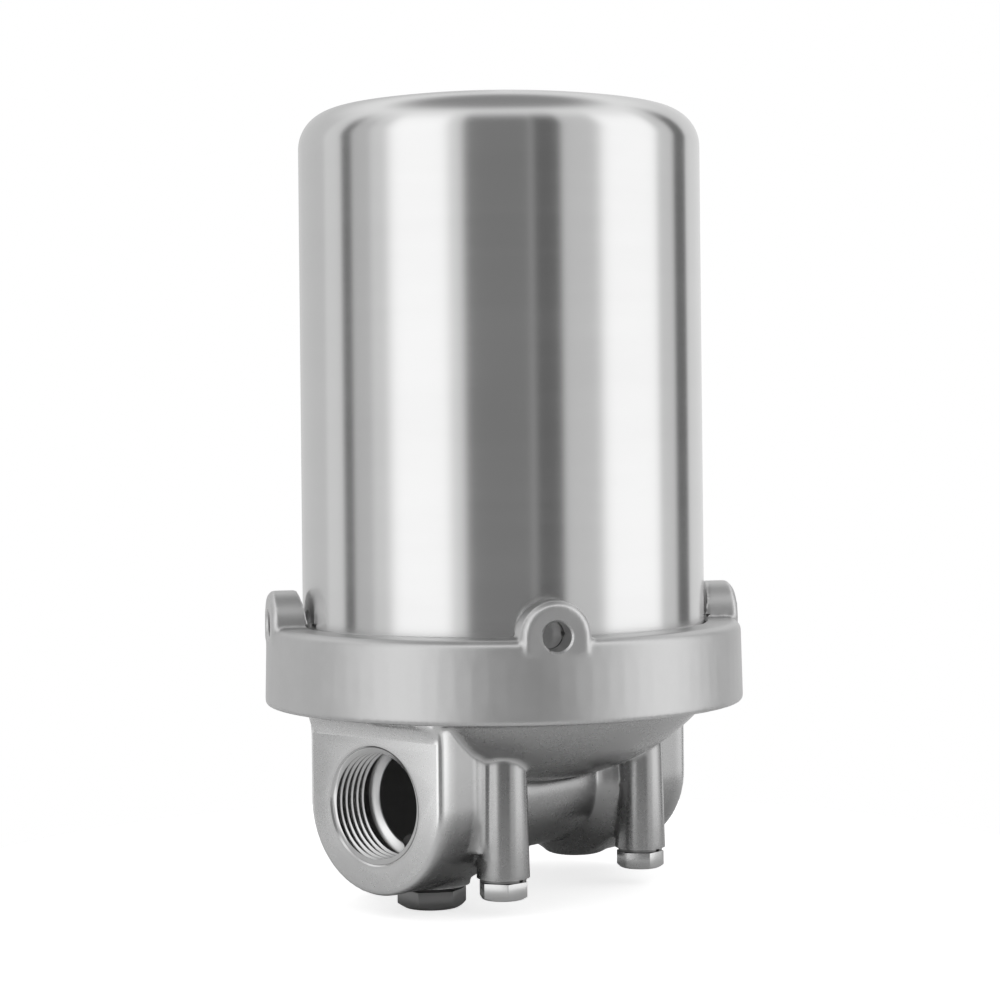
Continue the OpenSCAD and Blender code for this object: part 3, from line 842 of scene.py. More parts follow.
def marked(piece: Piece, fine: float = 0.0012, crease: float = 38.0) -> Piece:
    """Note on a casting which faces look down, which the cast finish paints with shade, and which edges the
    hand and the polishing belt wear.

    Args:
        piece: a closely meshed piece.
        fine: faces with a longer side than this, in metres, carry no wear.
        crease: edges sharper than this many degrees are sharp.

    Returns:
        The piece.
    """
    mesh = piece.data
    mesh.shade_smooth()
    mesh.set_sharp_from_angle(angle=math.radians(crease))
    # How far each face looks down: the mask for painted underside shade.
    below = np.clip(-read(mesh.corner_normals, "vector", 3)[:, 2], 0.0, 1.0)
    places = read(mesh.vertices, "co", 3)
    normals = read(mesh.vertex_normals, "vector", 3)
    first, second = read(mesh.edges, "vertices", 2, np.int32).T
    step = places[second] - places[first]
    length = np.linalg.norm(step, axis=1) + 1e-9
    fall_first = -(step * normals[first]).sum(axis=1) / length
    fall_second = (step * normals[second]).sum(axis=1) / length
    count = len(places)
    total = np.bincount(first, fall_first, count) + np.bincount(second, fall_second, count)
    near = np.bincount(first, minlength=count) + np.bincount(second, minlength=count)
    bulge = np.clip((total / np.maximum(near, 1) - WEAR_START) / WEAR_SPAN, 0.0, 1.0)
    short = length[read(mesh.loops, "edge_index", kind=np.int32)] < fine
    starts = read(mesh.polygons, "loop_start", kind=np.int32)
    even = np.repeat(np.minimum.reduceat(short, starts), read(mesh.polygons, "loop_total", kind=np.int32))
    worn = bulge[read(mesh.loops, "vertex_index", kind=np.int32)] * even
    for name, values in ((UNDERSIDE_SHADE, below), (WORN, worn)):
        layer = mesh.attributes.new(name, "FLOAT", "CORNER")
        layer.data.foreach_set("value", values.astype(np.float32))
    return piece


def dress(
    piece: Piece, finish: Finish, body: Body, stands_for: Sequence[str] = (), crease: float = 35.0
) -> Piece:
    """Give a finished piece its surface and its place in the assembly.

    Args:
        piece: the piece, in place.
        finish: its material.
        body: the body that carries it.
        stands_for: CAD nodes that it replaces.
        crease: edges sharper than this many degrees stay sharp.

    Returns:
        The piece.
    """
    mesh = piece.data
    mesh.materials.clear()
    mesh.materials.append(finish)
    mesh.shade_smooth()
    mesh.set_sharp_from_angle(angle=math.radians(crease))
    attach(piece, body.value)
    if stands_for:
        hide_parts(*stands_for)
    LOG.info("%s: %d faces on %s", piece.name, len(mesh.polygons), body.value)
    return piece


class GeometryTree(Graph):
    """A Geometry Nodes tree with named inputs that ends in one material."""

    def __init__(self, name: str, carried: bool = False) -> None:
        """Args:
            name: the tree's name.
            carried: the tree works on the mesh of its object.
        """
        super().__init__(bpy.data.node_groups.new(name, "GeometryNodeTree"))
        self.tree.is_modifier = True
        self.identifiers: dict[str, str] = {}
        self.tree.interface.new_socket("Geometry", in_out="OUTPUT", socket_type="NodeSocketGeometry")
        self.entry = self.tree.nodes.new("NodeGroupInput")
        if carried:
            self.size("Carrier", "NodeSocketGeometry")
        self.size("Material", "NodeSocketMaterial")

    def size(self, name: str, kind: str = "NodeSocketFloat") -> Signal:
        """Args:
            name: the input's name.
            kind: its socket type.

        Returns:
            The input's value.
        """
        socket = self.tree.interface.new_socket(name, in_out="INPUT", socket_type=kind)
        self.identifiers[name] = socket.identifier
        return self.out(self.entry, socket.identifier)

    def vector(self, **axes: Signal | float) -> Signal:
        """A vector with the given X, Y and Z."""
        return self.take("Vector", "ShaderNodeCombineXYZ", axes)

    def sweep(self, path: Signal, section: Signal) -> Signal:
        """Args:
            path: the curve to follow.
            section: the outline that is drawn along it.

        Returns:
            The bar along the path.
        """
        upright = self.take("Curve", "GeometryNodeSetCurveNormal", {"Curve": path}, {"mode": "Z_UP"})
        inputs = {"Curve": upright, "Profile Curve": section, "Fill Caps": True}
        return self.take("Mesh", "GeometryNodeCurveToMesh", inputs)

    def copies(self, points: Signal, piece: Signal, **turn: Signal) -> Signal:
        """Copies of a piece at the points, each with the rotation that is given."""
        inputs = {"Points": points, "Instance": piece, **turn}
        return self.take("Instances", "GeometryNodeInstanceOnPoints", inputs)

    def end(self, geometry: Signal) -> None:
        """Args:
            geometry: what the tree makes, which is realized and given the material.
        """
        real = self.take("Geometry", "GeometryNodeRealizeInstances", {"Geometry": geometry})
        material = self.out(self.entry, self.identifiers["Material"])
        inputs = {"Geometry": real, "Material": material}
        dressed = self.take("Geometry", "GeometryNodeSetMaterial", inputs)
        self.node("NodeGroupOutput", {"Geometry": dressed})

    def grow(self, name: str, values: dict[str, object], carrier: bpy.types.Mesh | None = None) -> Piece:
        """Run the tree once.

        Args:
            name: the new piece's name.
            values: the inputs by name.
            carrier: the mesh that the tree works on, if it does.

        Returns:
            The result as a plain mesh object.
        """
        seed = put(name, carrier or bpy.data.meshes.new(name))
        modifier = seed.modifiers.new("grow", "NODES")
        modifier.node_group = self.tree
        for key, value in values.items():
            modifier[self.identifiers[key]] = value
        return baked(seed)


class ThreadTree(GeometryTree):
    """A helical ridge: the turns of a screw thread."""

    def __init__(self) -> None:
        """Build the tree."""
        super().__init__("screw_thread")
        root = self.size("Root Radius")
        depth = self.size("Depth")
        pitch = self.size("Pitch")
        turns = self.size("Turns")
        foot = self.size("Foot Width")
        crest = self.size("Crest Width")
        helix = {
            "Resolution": 96,
            "Rotations": turns,
            "Start Radius": root,
            "End Radius": root,
            "Height": pitch * turns,
            "Reverse": True,
        }
        corners = {
            "Point 1": self.vector(X=0.0, Y=foot * -0.5),
            "Point 2": self.vector(X=depth, Y=crest * -0.5),
            "Point 3": self.vector(X=depth, Y=crest * 0.5),
            "Point 4": self.vector(X=0.0, Y=foot * 0.5),
        }
        path = self.take("Curve", "GeometryNodeCurveSpiral", helix)
        section = self.take(
            "Curve", "GeometryNodeCurvePrimitiveQuadrilateral", corners, {"mode": "POINTS"}
        )
        self.end(self.sweep(path, section))


@dataclass(frozen=True)
class Thread:
    """One screw thread, in millimetres; a negative depth makes a female thread."""

    root: float
    depth: float
    pitch: float
    length: float
    foot_share: float = 0.86
    crest_share: float = 0.16

    def ridge(self, tree: ThreadTree, name: str, finish: Finish, move: Matrix) -> Piece:
        """Args:
            tree: the thread tree.
            name: the piece's name.
            finish: its material.
            move: from the thread's own frame, starting at its origin along +Z.

        Returns:
            The ridge.
        """
        values = {
            "Material": finish,
            "Root Radius": self.root * MM,
            "Depth": self.depth * MM,
            "Pitch": self.pitch * MM,
            "Turns": self.length / self.pitch,
            "Foot Width": self.foot_share * self.pitch * MM,
            "Crest Width": self.crest_share * self.pitch * MM,
        }
        made = tree.grow(name, values)
        made.data.transform(move)
        return made


class LatticeTree(GeometryTree):
    """A round cage of upright bars and level hoops."""

    def __init__(self) -> None:
        """Build the tree."""
        super().__init__("round_cage")
        radius = self.size("Radius")
        height = self.size("Height")
        bars = self.size("Bars", "NodeSocketInt")
        hoops = self.size("Hoops", "NodeSocketInt")
        bar_width = self.size("Bar Width")
        hoop_width = self.size("Hoop Width")
        depth = self.size("Bar Depth")
        rise = self.vector(Z=height)
        upright = self.take("Curve", "GeometryNodeCurvePrimitiveLine", {"End": rise})
        around = self.take("Mesh", "GeometryNodeMeshCircle", {"Vertices": bars, "Radius": radius})
        outward = self.take("Position", "GeometryNodeInputPosition")
        turn = self.take(
            "Rotation", "FunctionNodeAlignRotationToVector", {"Vector": outward}, {"axis": "X"}
        )
        standing = self.copies(around, self.sweep(upright, self.section(depth, bar_width)), Rotation=turn)
        loop = self.take(
            "Curve", "GeometryNodeCurvePrimitiveCircle", {"Resolution": 160, "Radius": radius}
        )
        levels = {"Count": hoops, "Start Location": (0.0, 0.0, 0.0), "Offset": rise}
        ladder = self.take("Mesh", "GeometryNodeMeshLine", levels, {"mode": "END_POINTS"})
        stacked = self.copies(ladder, self.sweep(loop, self.section(depth, hoop_width)))
        both = self.node("GeometryNodeJoinGeometry")
        for part in (standing, stacked):
            self.tree.links.new(part.socket, both.inputs["Geometry"])
        self.end(self.out(both, "Geometry"))

    def section(self, depth: Signal, width: Signal) -> Signal:
        """Args:
            depth: thickness of a bar away from the axis.
            width: width of the bar.

        Returns:
            The outline of the bar with its corners rounded.
        """
        sizes = {"Width": depth, "Height": width}
        sharp = self.take("Curve", "GeometryNodeCurvePrimitiveQuadrilateral", sizes)
        inputs = {"Curve": sharp, "Count": 3, "Radius": depth * 0.25}
        return self.take("Curve", "GeometryNodeFilletCurve", inputs, {"mode": "POLY"})


class PatternTree(GeometryTree):
    """Copies of one piece at the points of a carrier mesh, each turned by the point's own angle."""

    def __init__(self) -> None:
        """Build the tree."""
        super().__init__("bolt_pattern", carried=True)
        piece = self.size("Piece", "NodeSocketObject")
        source = self.take("Geometry", "GeometryNodeObjectInfo", {"Object": piece})
        turn = self.take(
            "Attribute", "GeometryNodeInputNamedAttribute", {"Name": "turn"}, {"data_type": "FLOAT"}
        )
        points = self.out(self.entry, self.identifiers["Carrier"])
        self.end(self.copies(points, source, Rotation=self.vector(Z=turn)))

    def spread(
        self,
        name: str,
        piece: Piece,
        places: Sequence[Sequence[float]],
        turns: Sequence[float],
        finish: Finish,
    ) -> Piece:
        """Args:
            name: the group's name.
            piece: the piece at the origin, removed afterwards.
            places: points in metres.
            turns: angle of each copy in degrees.
            finish: the material.

        Returns:
            All the copies as one plain mesh object.
        """
        mesh = bpy.data.meshes.new(name)
        mesh.from_pydata([tuple(p) for p in places], [], [])
        attribute = mesh.attributes.new("turn", "FLOAT", "POINT")
        attribute.data.foreach_set("value", [math.radians(t) for t in turns])
        made = self.grow(name, {"Material": finish, "Piece": piece}, mesh)
        drop(piece)
        return made


@dataclass(frozen=True)
class HexScrew:
    """A chamfered hexagon head, its outer end at the origin, on a threaded shank. Sizes in millimetres."""

    name: str
    across_flats: float
    head_h: float
    chamfer: float
    turn: float
    shank_r: float
    shank_top: float
    shank_sides: int
    sunk: float
    tip_r: float
    tip_h: float
    thread_depth: float
    pitch: float
    thread_start: float
    thread_length: float
    bevel: float = 0.14
    bevel_from: float = 28.0

    def build(self, threads: ThreadTree, finish: Finish) -> Piece:
        """Args:
            threads: the thread tree.
            finish: the material.

        Returns:
            The screw, its head's height along +Z.
        """
        foot, r, top = self.head_h - self.sunk, self.shank_r, self.shank_top
        outline = rounded((0, foot), (r, foot), (r, top - self.tip_h), (r - self.tip_r, top), (0, top))
        shank = lathe(self.name + "_shank", outline, self.shank_sides)
        thread = Thread(r - 0.02, self.thread_depth, self.pitch, self.thread_length)
        ridge = thread.ridge(threads, self.name + "_thread", finish, lifted(self.thread_start))
        return joined(self.name, [self.head(), shank, ridge])

    def head(self) -> Piece:
        """Returns:
            The hexagon, its end cut by a cone and its edges a little worn.
        """
        half, h = self.across_flats / 2, self.head_h
        slant = math.radians(30)
        corner = half / math.cos(slant)
        prism = lathe(
            self.name + "_head",
            rounded((0, 0), (corner, 0), (corner, h), (0, h)),
            6,
            Matrix.Rotation(math.radians(self.turn), 4, "Z"),
        )
        face = half - self.chamfer
        reach = corner + 1 - face
        wide = face + reach
        cone = rounded((0, 0), (face, 0), (wide, reach * math.tan(slant)), (wide, h + 1), (0, h + 1))
        head = carved(prism, [lathe("cone", cone, 96)], "INTERSECT")
        bevel = head.modifiers.new("worn", "BEVEL")
        bevel.width = self.bevel * MM
        bevel.segments = 2
        bevel.limit_method = "ANGLE"
        bevel.angle_limit = math.radians(self.bevel_from)
        return baked(head)


@dataclass(frozen=True)
class Shop:
    """What every sub-assembly works with."""

    finishes: Finishes
    threads: ThreadTree
    lattice: LatticeTree
    pattern: PatternTree


@dataclass
class SubAssembly:
    """Pieces that are made and dressed together."""

    shop: Shop

    @property
    def finishes(self) -> Finishes:
        """The shop's materials."""
        return self.shop.finishes

    def turned_thread(self, thread: Thread, name: str, move: Matrix) -> Piece:
        """The ridge of a thread in turned steel."""
        return thread.ridge(self.shop.threads, name, self.finishes.turned, move)


@dataclass
class HeadCasting(SubAssembly):
    """The cast head: dish, cross tube, two ports, four posts and the drain boss. Sizes in millimetres."""

    port_z: float = 25.5
    port_face_x: float = 46.5
    port_r: float = 13.22
    port_depth: float = 10.9
    port_chamfer: float = 0.5
    thread_depth: float = 1.1
    thread_start: float = 0.3
    thread_lead_in: float = 1.6
    thread_length: float = 12.3
    groove_r: float = 13.67
    ledge_depth: float = 13.0
    ledge_cone: float = 0.9
    port_fill: float = 1.6
    waterway_r: float = 11.3
    inlet_end: float = 31.5
    outlet_end: float = 55.0
    window_x: float = -22.0
    window_r: float = 7.0
    window_rise: float = 13.6
    outlet_r: float = 8.5
    centre_z: float = 45.0
    spigot_hole_r: float = 10.4
    spigot_hole_z: float = 35.0
    post_r: float = 6.0
    post_z: float = 8.8
    bolt_hole_r: float = 3.05
    bolt_hole_l: float = 15.0
    drain_z: float = 5.3
    drain_r: float = 6.6
    drain_top_z: float = 24.5
    boss_r: float = 8.8
    foot_extra: float = 1.6
    foot_joint: float = 0.5
    post_clear: float = 1.8
    boss_clear: float = 2.0
    face_cut: float = 5.0
    nut_z: float = 45.7
    rim_z: float = 57.0
    rim_cut_z: float = 46.4
    clear_r: float = 70.0
    clear_z: float = 90.0
    rim_thread: Thread = Thread(52.85, 0.7, 2.0, 7.6)
    rim_thread_z: float = 48.2
    shelf_z: float = 40.9
    boss_inner_x: float = 22.5
    boss_joint: float = 2.0
    flare_x: float = 8.0
    flare_end_x: float = 6.5
    flare_round: float = 5.0
    boss_round: float = 2.5
    pad_r: float = 20.4
    pad_edge: float = 1.7
    pad_top_z: float = 45.2
    tube_r: float = 15.8
    overlap: float = 0.15
    voxel: float = 0.66
    polish_rounds: int = 5
    swell: float = 0.12
    rim_outline: Outline = (
        (43.0, 46.0), (51.35, 46.0), (51.35, 47.15), (52.9, 48.0), (52.9, 56.3), (52.2, 57.0),
        (51.2, 57.0, 0.15), (51.2, 54.7, 0.3), (48.0, 54.7, 0.3), (48.0, 57.0, 0.15),
        (46.45, 57.0, 0.4), (46.45, 59.5, 0.8), (43.0, 59.5, 0.6),
    )

    def build(self) -> None:
        """Make the casting, its rim and the threads in its ports."""
        rough = joined("head_casting", self.fillers())
        body = softened(rough, self.voxel, self.polish_rounds, self.swell)
        body = marked(carved(body, self.cutters()))
        turned = self.finishes.turned
        dress(body, self.finishes.cast, Body.HEAD, ["head"], crease=38.0)
        dress(lathe("head_rim", rounded(*self.rim_outline), 256), turned, Body.HEAD)
        port_thread = Thread(self.port_r + 0.05, -self.thread_depth, INCH_PITCH_14, self.thread_length)
        for side, name in ((-1, "inlet_thread"), (1, "outlet_thread")):
            ridge = self.turned_thread(port_thread, name, self.port_frame(side, -self.thread_lead_in))
            mouth = Vector((side * (self.port_face_x - self.thread_start + 3), 0, self.port_z))
            ridge = carved(ridge, [block("mouth", mouth, (6, 40, 40))])
            dress(ridge, turned, Body.HEAD)
        rim_ridge = self.turned_thread(self.rim_thread, "rim_thread", lifted(self.rim_thread_z))
        dress(rim_ridge, turned, Body.HEAD)

    def port_frame(self, side: int, depth: float = 0.0) -> Matrix:
        """Args:
            side: -1 for the inlet, 1 for the outlet.
            depth: how far inside the pad's face the frame starts.

        Returns:
            The frame whose Z axis runs into the port.
        """
        start = Vector((side * (self.port_face_x - depth), 0, self.port_z)) * MM
        return Matrix.Translation(start) @ Matrix.Rotation(-side * math.pi / 2, 4, "Y")

    def axis_frame(self, side: int) -> Matrix:
        """The frame at the middle of the cross tube whose Z axis runs out through the port."""
        middle = Vector((0, 0, self.port_z)) * MM
        return Matrix.Translation(middle) @ Matrix.Rotation(side * math.pi / 2, 4, "Y")

    def fillers(self) -> list[Piece]:
        """Returns:
            The CAD head and the plugs that close its hollows before it is softened.
        """
        grow, face, z = self.overlap, self.port_face_x, self.port_z
        window, drain = (self.window_x, 0), (DRAIN_X, 0)
        pieces = [
            merged_copy("head"),
            rod("ports", self.groove_r + self.port_fill, Vector((-face, 0, z)), Vector((face, 0, z))),
            standing_rod("window", self.window_r + grow, window, z, z + self.window_rise),
            standing_rod("centre", self.spigot_hole_r + grow, (0, 0), z, self.centre_z),
            standing_rod("drain", self.drain_r + grow, drain, self.drain_z, self.drain_top_z + grow),
        ]
        low, top = self.post_z - self.foot_extra, self.post_z + self.bolt_hole_l + grow
        for spot in POST_SPOTS:
            pieces.append(standing_rod("bolt_hole", self.bolt_hole_r + grow, spot, low, top))
            pieces.append(standing_rod("post_foot", self.post_r, spot, low, self.post_z + self.foot_joint))
        foot = Vector((*drain, self.drain_z - self.foot_extra))
        rise = Vector((0, 0, self.foot_extra + self.foot_joint))
        pieces.append(rod("boss_foot", self.boss_r, foot, foot + rise))
        return pieces + [self.boss_skin(-1), self.boss_skin(1)]

    def boss_skin(self, side: int) -> Piece:
        """Args:
            side: -1 for the inlet, 1 for the outlet.

        Returns:
            The fill that carries the pad's outline back to the flare of the cross tube.
        """
        inner, outer, r, edge = self.boss_inner_x, self.port_face_x, self.pad_r, self.pad_edge
        flare, tube = inner - self.flare_x, self.tube_r
        outline = rounded(
            (0, flare), (tube, flare), (tube, inner - self.flare_end_x, self.flare_round),
            (r, inner, self.boss_round), (r, outer, edge), (0, outer),
        )
        pieces = [lathe("boss_skin", outline, 160, self.axis_frame(side))]
        rise = Vector((0, 0, self.pad_top_z - self.port_z))
        start = inner + self.boss_joint
        for reach, half in ((outer, r - edge), (outer - edge, r)):
            middle = Vector((side * (start + reach) / 2, 0, self.port_z)) + rise / 2
            pieces.append(block("boss_wall", middle, (reach - start, 2 * half, rise.z)))
        for way in (-1, 1):
            foot = Vector((side * (outer - edge), way * (r - edge), self.port_z))
            pieces.append(rod("boss_edge", edge, foot, foot + rise, 48))
        return joined("boss_skin", pieces)

    def cutters(self) -> list[Piece]:
        """Returns:
            The machining of the casting: ports, waterways, holes and faces.
        """
        axis, z, drain = (0, 0), self.port_z, (DRAIN_X, 0)
        tools = [
            standing_rod("above_rim", self.clear_r, axis, self.rim_cut_z, self.clear_z),
            standing_rod("window", self.window_r, (self.window_x, 0), z, self.nut_z),
            standing_rod("outlet", self.outlet_r, axis, z, self.rim_z),
            standing_rod("spigot", self.spigot_hole_r, axis, self.spigot_hole_z, self.rim_z),
            standing_rod("drain", self.drain_r, drain, self.drain_z - 1, self.drain_top_z),
            self.port_tool(-1, self.inlet_end),
            self.port_tool(1, self.outlet_end),
        ]
        for side in (-1, 1):
            middle = Vector((side * (self.port_face_x + 3), 0, self.shelf_z / 2))
            tools.append(block("port_face", middle, (6, 60, self.shelf_z)))
        up = Vector((0, 0, 1))
        for spot in POST_SPOTS:
            face = Vector((*spot, self.post_z))
            tools.append(rod("post_face", self.post_r + self.post_clear, face - self.face_cut * up, face))
            tools.append(rod("bolt_hole", self.bolt_hole_r, face - up, face + self.bolt_hole_l * up))
        face = Vector((*drain, self.drain_z))
        tools.append(rod("boss_face", self.boss_r + self.boss_clear, face - self.face_cut * up, face))
        return tools

    def port_tool(self, side: int, end: float) -> Piece:
        """Args:
            side: -1 for the inlet, 1 for the outlet.
            end: depth at which the waterway ends.

        Returns:
            The tool that cuts the port from its chamfer to its waterway.
        """
        chamfer, r, groove, bore = self.port_chamfer, self.port_r, self.groove_r, self.waterway_r
        cone_end = self.ledge_depth + self.ledge_cone
        outline = rounded(
            (0, -2), (r + chamfer + 2, -2), (r, chamfer), (r, self.port_depth),
            (groove, self.port_depth), (groove, self.ledge_depth, 0.3),
            (bore + 0.2, cone_end), (bore, cone_end + 0.2), (bore, end), (0, end),
        )
        return lathe("port_tool", outline, 192, self.port_frame(side))


@dataclass
class RingNut(SubAssembly):
    """The cast ring nut with its four lugs. Sizes in millimetres."""

    bottom_z: float = 45.7
    shoulder_z: float = 60.3
    top_z: float = 64.6
    bore_r: float = 54.3
    hole_r: float = 48.75
    mouth: float = 2.7
    lug_angle: float = 52.0
    lug_count: int = 4
    lug_hole_z: float = 65.2
    lug_hole_r: float = 3.3
    lug_face_r: float = 57.0
    lug_inner_r: float = 49.3
    countersink: float = 1.6
    thread_z: float = 47.8
    thread_length: float = 9.2
    voxel: float = 0.5
    polish_rounds: int = 4

    def build(self) -> None:
        """Make the nut and its female thread."""
        body = softened(joined("ring_nut_casting", self.fillers()), self.voxel, self.polish_rounds)
        body = marked(carved(body, self.cutters()))
        dress(body, self.finishes.nut, Body.RING_NUT, ["ring_nut"], crease=34.0)
        thread = Thread(self.bore_r + 0.05, -0.65, 2.0, self.thread_length)
        ridge = self.turned_thread(thread, "nut_thread", lifted(self.thread_z))
        dress(ridge, self.finishes.turned, Body.RING_NUT)

    def lugs(self) -> list[Vector]:
        """Direction of each lug from the axis."""
        turns = [math.radians(self.lug_angle + i * 360 / self.lug_count) for i in range(self.lug_count)]
        return [Vector((math.cos(a), math.sin(a), 0)) for a in turns]

    def fillers(self) -> list[Piece]:
        """Returns:
            The CAD nut and the discs and plugs that fill its bore and holes.
        """
        low, rise = self.bottom_z, Vector((0, 0, self.lug_hole_z))
        pieces = [
            merged_copy("ring_nut"),
            standing_rod("bore", self.bore_r + 0.2, (0, 0), low, self.shoulder_z + 0.2),
            standing_rod("hole", self.hole_r + 0.3, (0, 0), low, self.top_z),
        ]
        for way in self.lugs():
            start, end = way * (self.lug_inner_r + 0.3) + rise, way * self.lug_face_r + rise
            pieces.append(rod("lug_hole", self.lug_hole_r + 0.15, start, end))
        return pieces

    def cutters(self) -> list[Piece]:
        """Returns:
            The bore with its shoulder, the chamfered hole for the bell and the four lug holes.
        """
        low, high, bore, hole = self.bottom_z, self.top_z, self.bore_r, self.hole_r
        outline = rounded(
            (0, low - 2), (bore + self.mouth, low - 2), (bore, low + 0.7), (bore, self.shoulder_z, 0.5),
            (hole, self.shoulder_z), (hole, high - 0.5), (hole + 1.5, high + 1), (0, high + 1),
        )
        tools = [lathe("bore", outline, 256)]
        rise = Vector((0, 0, self.lug_hole_z))
        r, sink = self.lug_hole_r, self.countersink
        for way in self.lugs():
            start, end = way * (hole - 1) + rise, way * (self.lug_face_r - 0.35) + rise
            tools.append(rod("lug_hole", r, start, end))
            turn = Vector((0, 0, 1)).rotation_difference(way).to_matrix().to_4x4()
            face = Matrix.Translation((way * (self.lug_face_r - 0.45) + rise) * MM) @ turn
            tools.append(lathe("countersink", rounded((0, 0), (r, 0), (r + sink, sink), (0, sink)), 96, face))
        return tools


@dataclass
class Bell(SubAssembly):
    """The spun bell with its welded flange. Sizes in millimetres."""

    rim_z: float = 57.0
    outer_r: float = 48.3
    wall: float = 1.5
    flange_r: float = 52.9
    flange_t: float = 2.5
    weld: float = 1.2
    height: float = 133.7
    knuckle_r: float = 9.0
    crown_r: float = 239.0

    def build(self) -> None:
        """Make the bell and its flange."""
        section = self.skin(0.0, 20) + self.skin(self.wall, 14)[::-1]
        bell = lathe("bell_shell", section, 320)
        dress(bell, self.finishes.bell, Body.BELL, ["bell"], crease=40.0)
        low, wall_r, flange_r = self.rim_z, self.outer_r, self.flange_r
        top = low + self.flange_t
        outline = rounded(
            (wall_r, low), (flange_r, low, 0.4), (flange_r, top, 0.4), (wall_r + self.weld, top, 0.5),
            (wall_r + 0.25, top + self.weld, 0.4), (wall_r, top + self.weld),
        )
        flange = lathe("flange_ring", outline, 256)
        dress(flange, self.finishes.turned, Body.BELL, ["bell_flange"])

    def skin(self, inset: float, steps: int) -> list[Point]:
        """Args:
            inset: depth below the outside.
            steps: segments of the knuckle and of the crown.

        Returns:
            The half section from the mouth up to the axis, in metres.
        """
        knuckle_x = self.outer_r - self.knuckle_r
        crown_z = self.rim_z + self.height - self.crown_r
        knuckle_z = crown_z + math.sqrt((self.crown_r - self.knuckle_r) ** 2 - knuckle_x**2)
        lean = math.atan2(knuckle_x, knuckle_z - crown_z)
        small, large = self.knuckle_r - inset, self.crown_r - inset
        points = [(self.outer_r - inset, self.rim_z), (self.outer_r - inset, knuckle_z)]
        for step in range(1, steps + 1):
            angle = step / steps * (math.pi / 2 - lean)
            points.append((knuckle_x + small * math.cos(angle), knuckle_z + small * math.sin(angle)))
        for step in range(1, steps + 1):
            angle = lean * (1 - step / steps)
            points.append((large * math.sin(angle), crown_z + large * math.cos(angle)))
        return [(r * MM, z * MM) for r, z in points]


@dataclass
class Seals(SubAssembly):
    """The seal rings and the slip washer: radii, heights and edge rounding in millimetres."""

    body_seal: Outline = ((48.1, 51.1), (54.7, 57.0), (1.1,))
    seat_seal: Outline = ((10.1, 13.4), (45.0, 46.0), (0.4,))
    bearing_washer: Outline = ((50.1, 53.5), (59.53, 60.27), (0.2,))

    def build(self) -> None:
        """Make the rings."""
        rubber, plastic = self.finishes.rubber, self.finishes.slippery
        for name, sizes, finish, slot, body, node in (
            ("body_seal", self.body_seal, rubber, "seal_rubber", Body.HEAD, "bell_seal"),
            ("seat_seal", self.seat_seal, rubber, "seal_rubber", Body.HEAD, "spigot_seal"),
            (
                "bearing_washer", self.bearing_washer, plastic, "washer_plastic", Body.SLIP_WASHER,
                "slip_washer",
            ),
        ):
            radii, heights, (edge,) = sizes
            dress(washer_ring(name, radii, heights, edge, 224, 8), finish, body, [node])


@dataclass
class CartridgeSeat(SubAssembly):
    """The turned seat with a knife edge that the cartridge stands on. Sizes in millimetres."""

    shank_r: float = 9.9
    shank_z: float = 37.0
    slot_z: float = 59.0
    slot_size: tuple[float, float, float] = (40.0, 4.0, 4.0)
    thread_pitch: float = 1.337
    thread_length: float = 7.2
    outline: Outline = (
        (8.5, 37.0, 0.4), (9.5, 37.0), (9.9, 37.4), (9.9, 46.0), (21.0, 46.0, 0.3), (21.0, 47.5, 0.4),
        (18.7, 47.5, 0.3), (18.7, 48.3), (18.15, 49.0, 0.12), (17.85, 49.0, 0.12), (17.3, 48.3),
        (17.3, 47.5, 0.3), (12.8, 47.5, 0.6), (12.8, 57.0, 0.4), (11.8, 59.0, 0.3), (8.5, 59.0, 0.5),
    )

    def build(self) -> None:
        """Make the seat and its thread."""
        slot = block("slot", Vector((0, 0, self.slot_z)), self.slot_size)
        seat = carved(lathe("seat_turning", rounded(*self.outline), 160), [slot])
        dress(seat, self.finishes.turned, Body.HEAD, ["seat_spigot"])
        thread = Thread(self.shank_r - 0.03, 0.45, self.thread_pitch, self.thread_length)
        ridge = self.turned_thread(thread, "seat_thread", lifted(self.shank_z + 1))
        dress(ridge, self.finishes.turned, Body.HEAD)


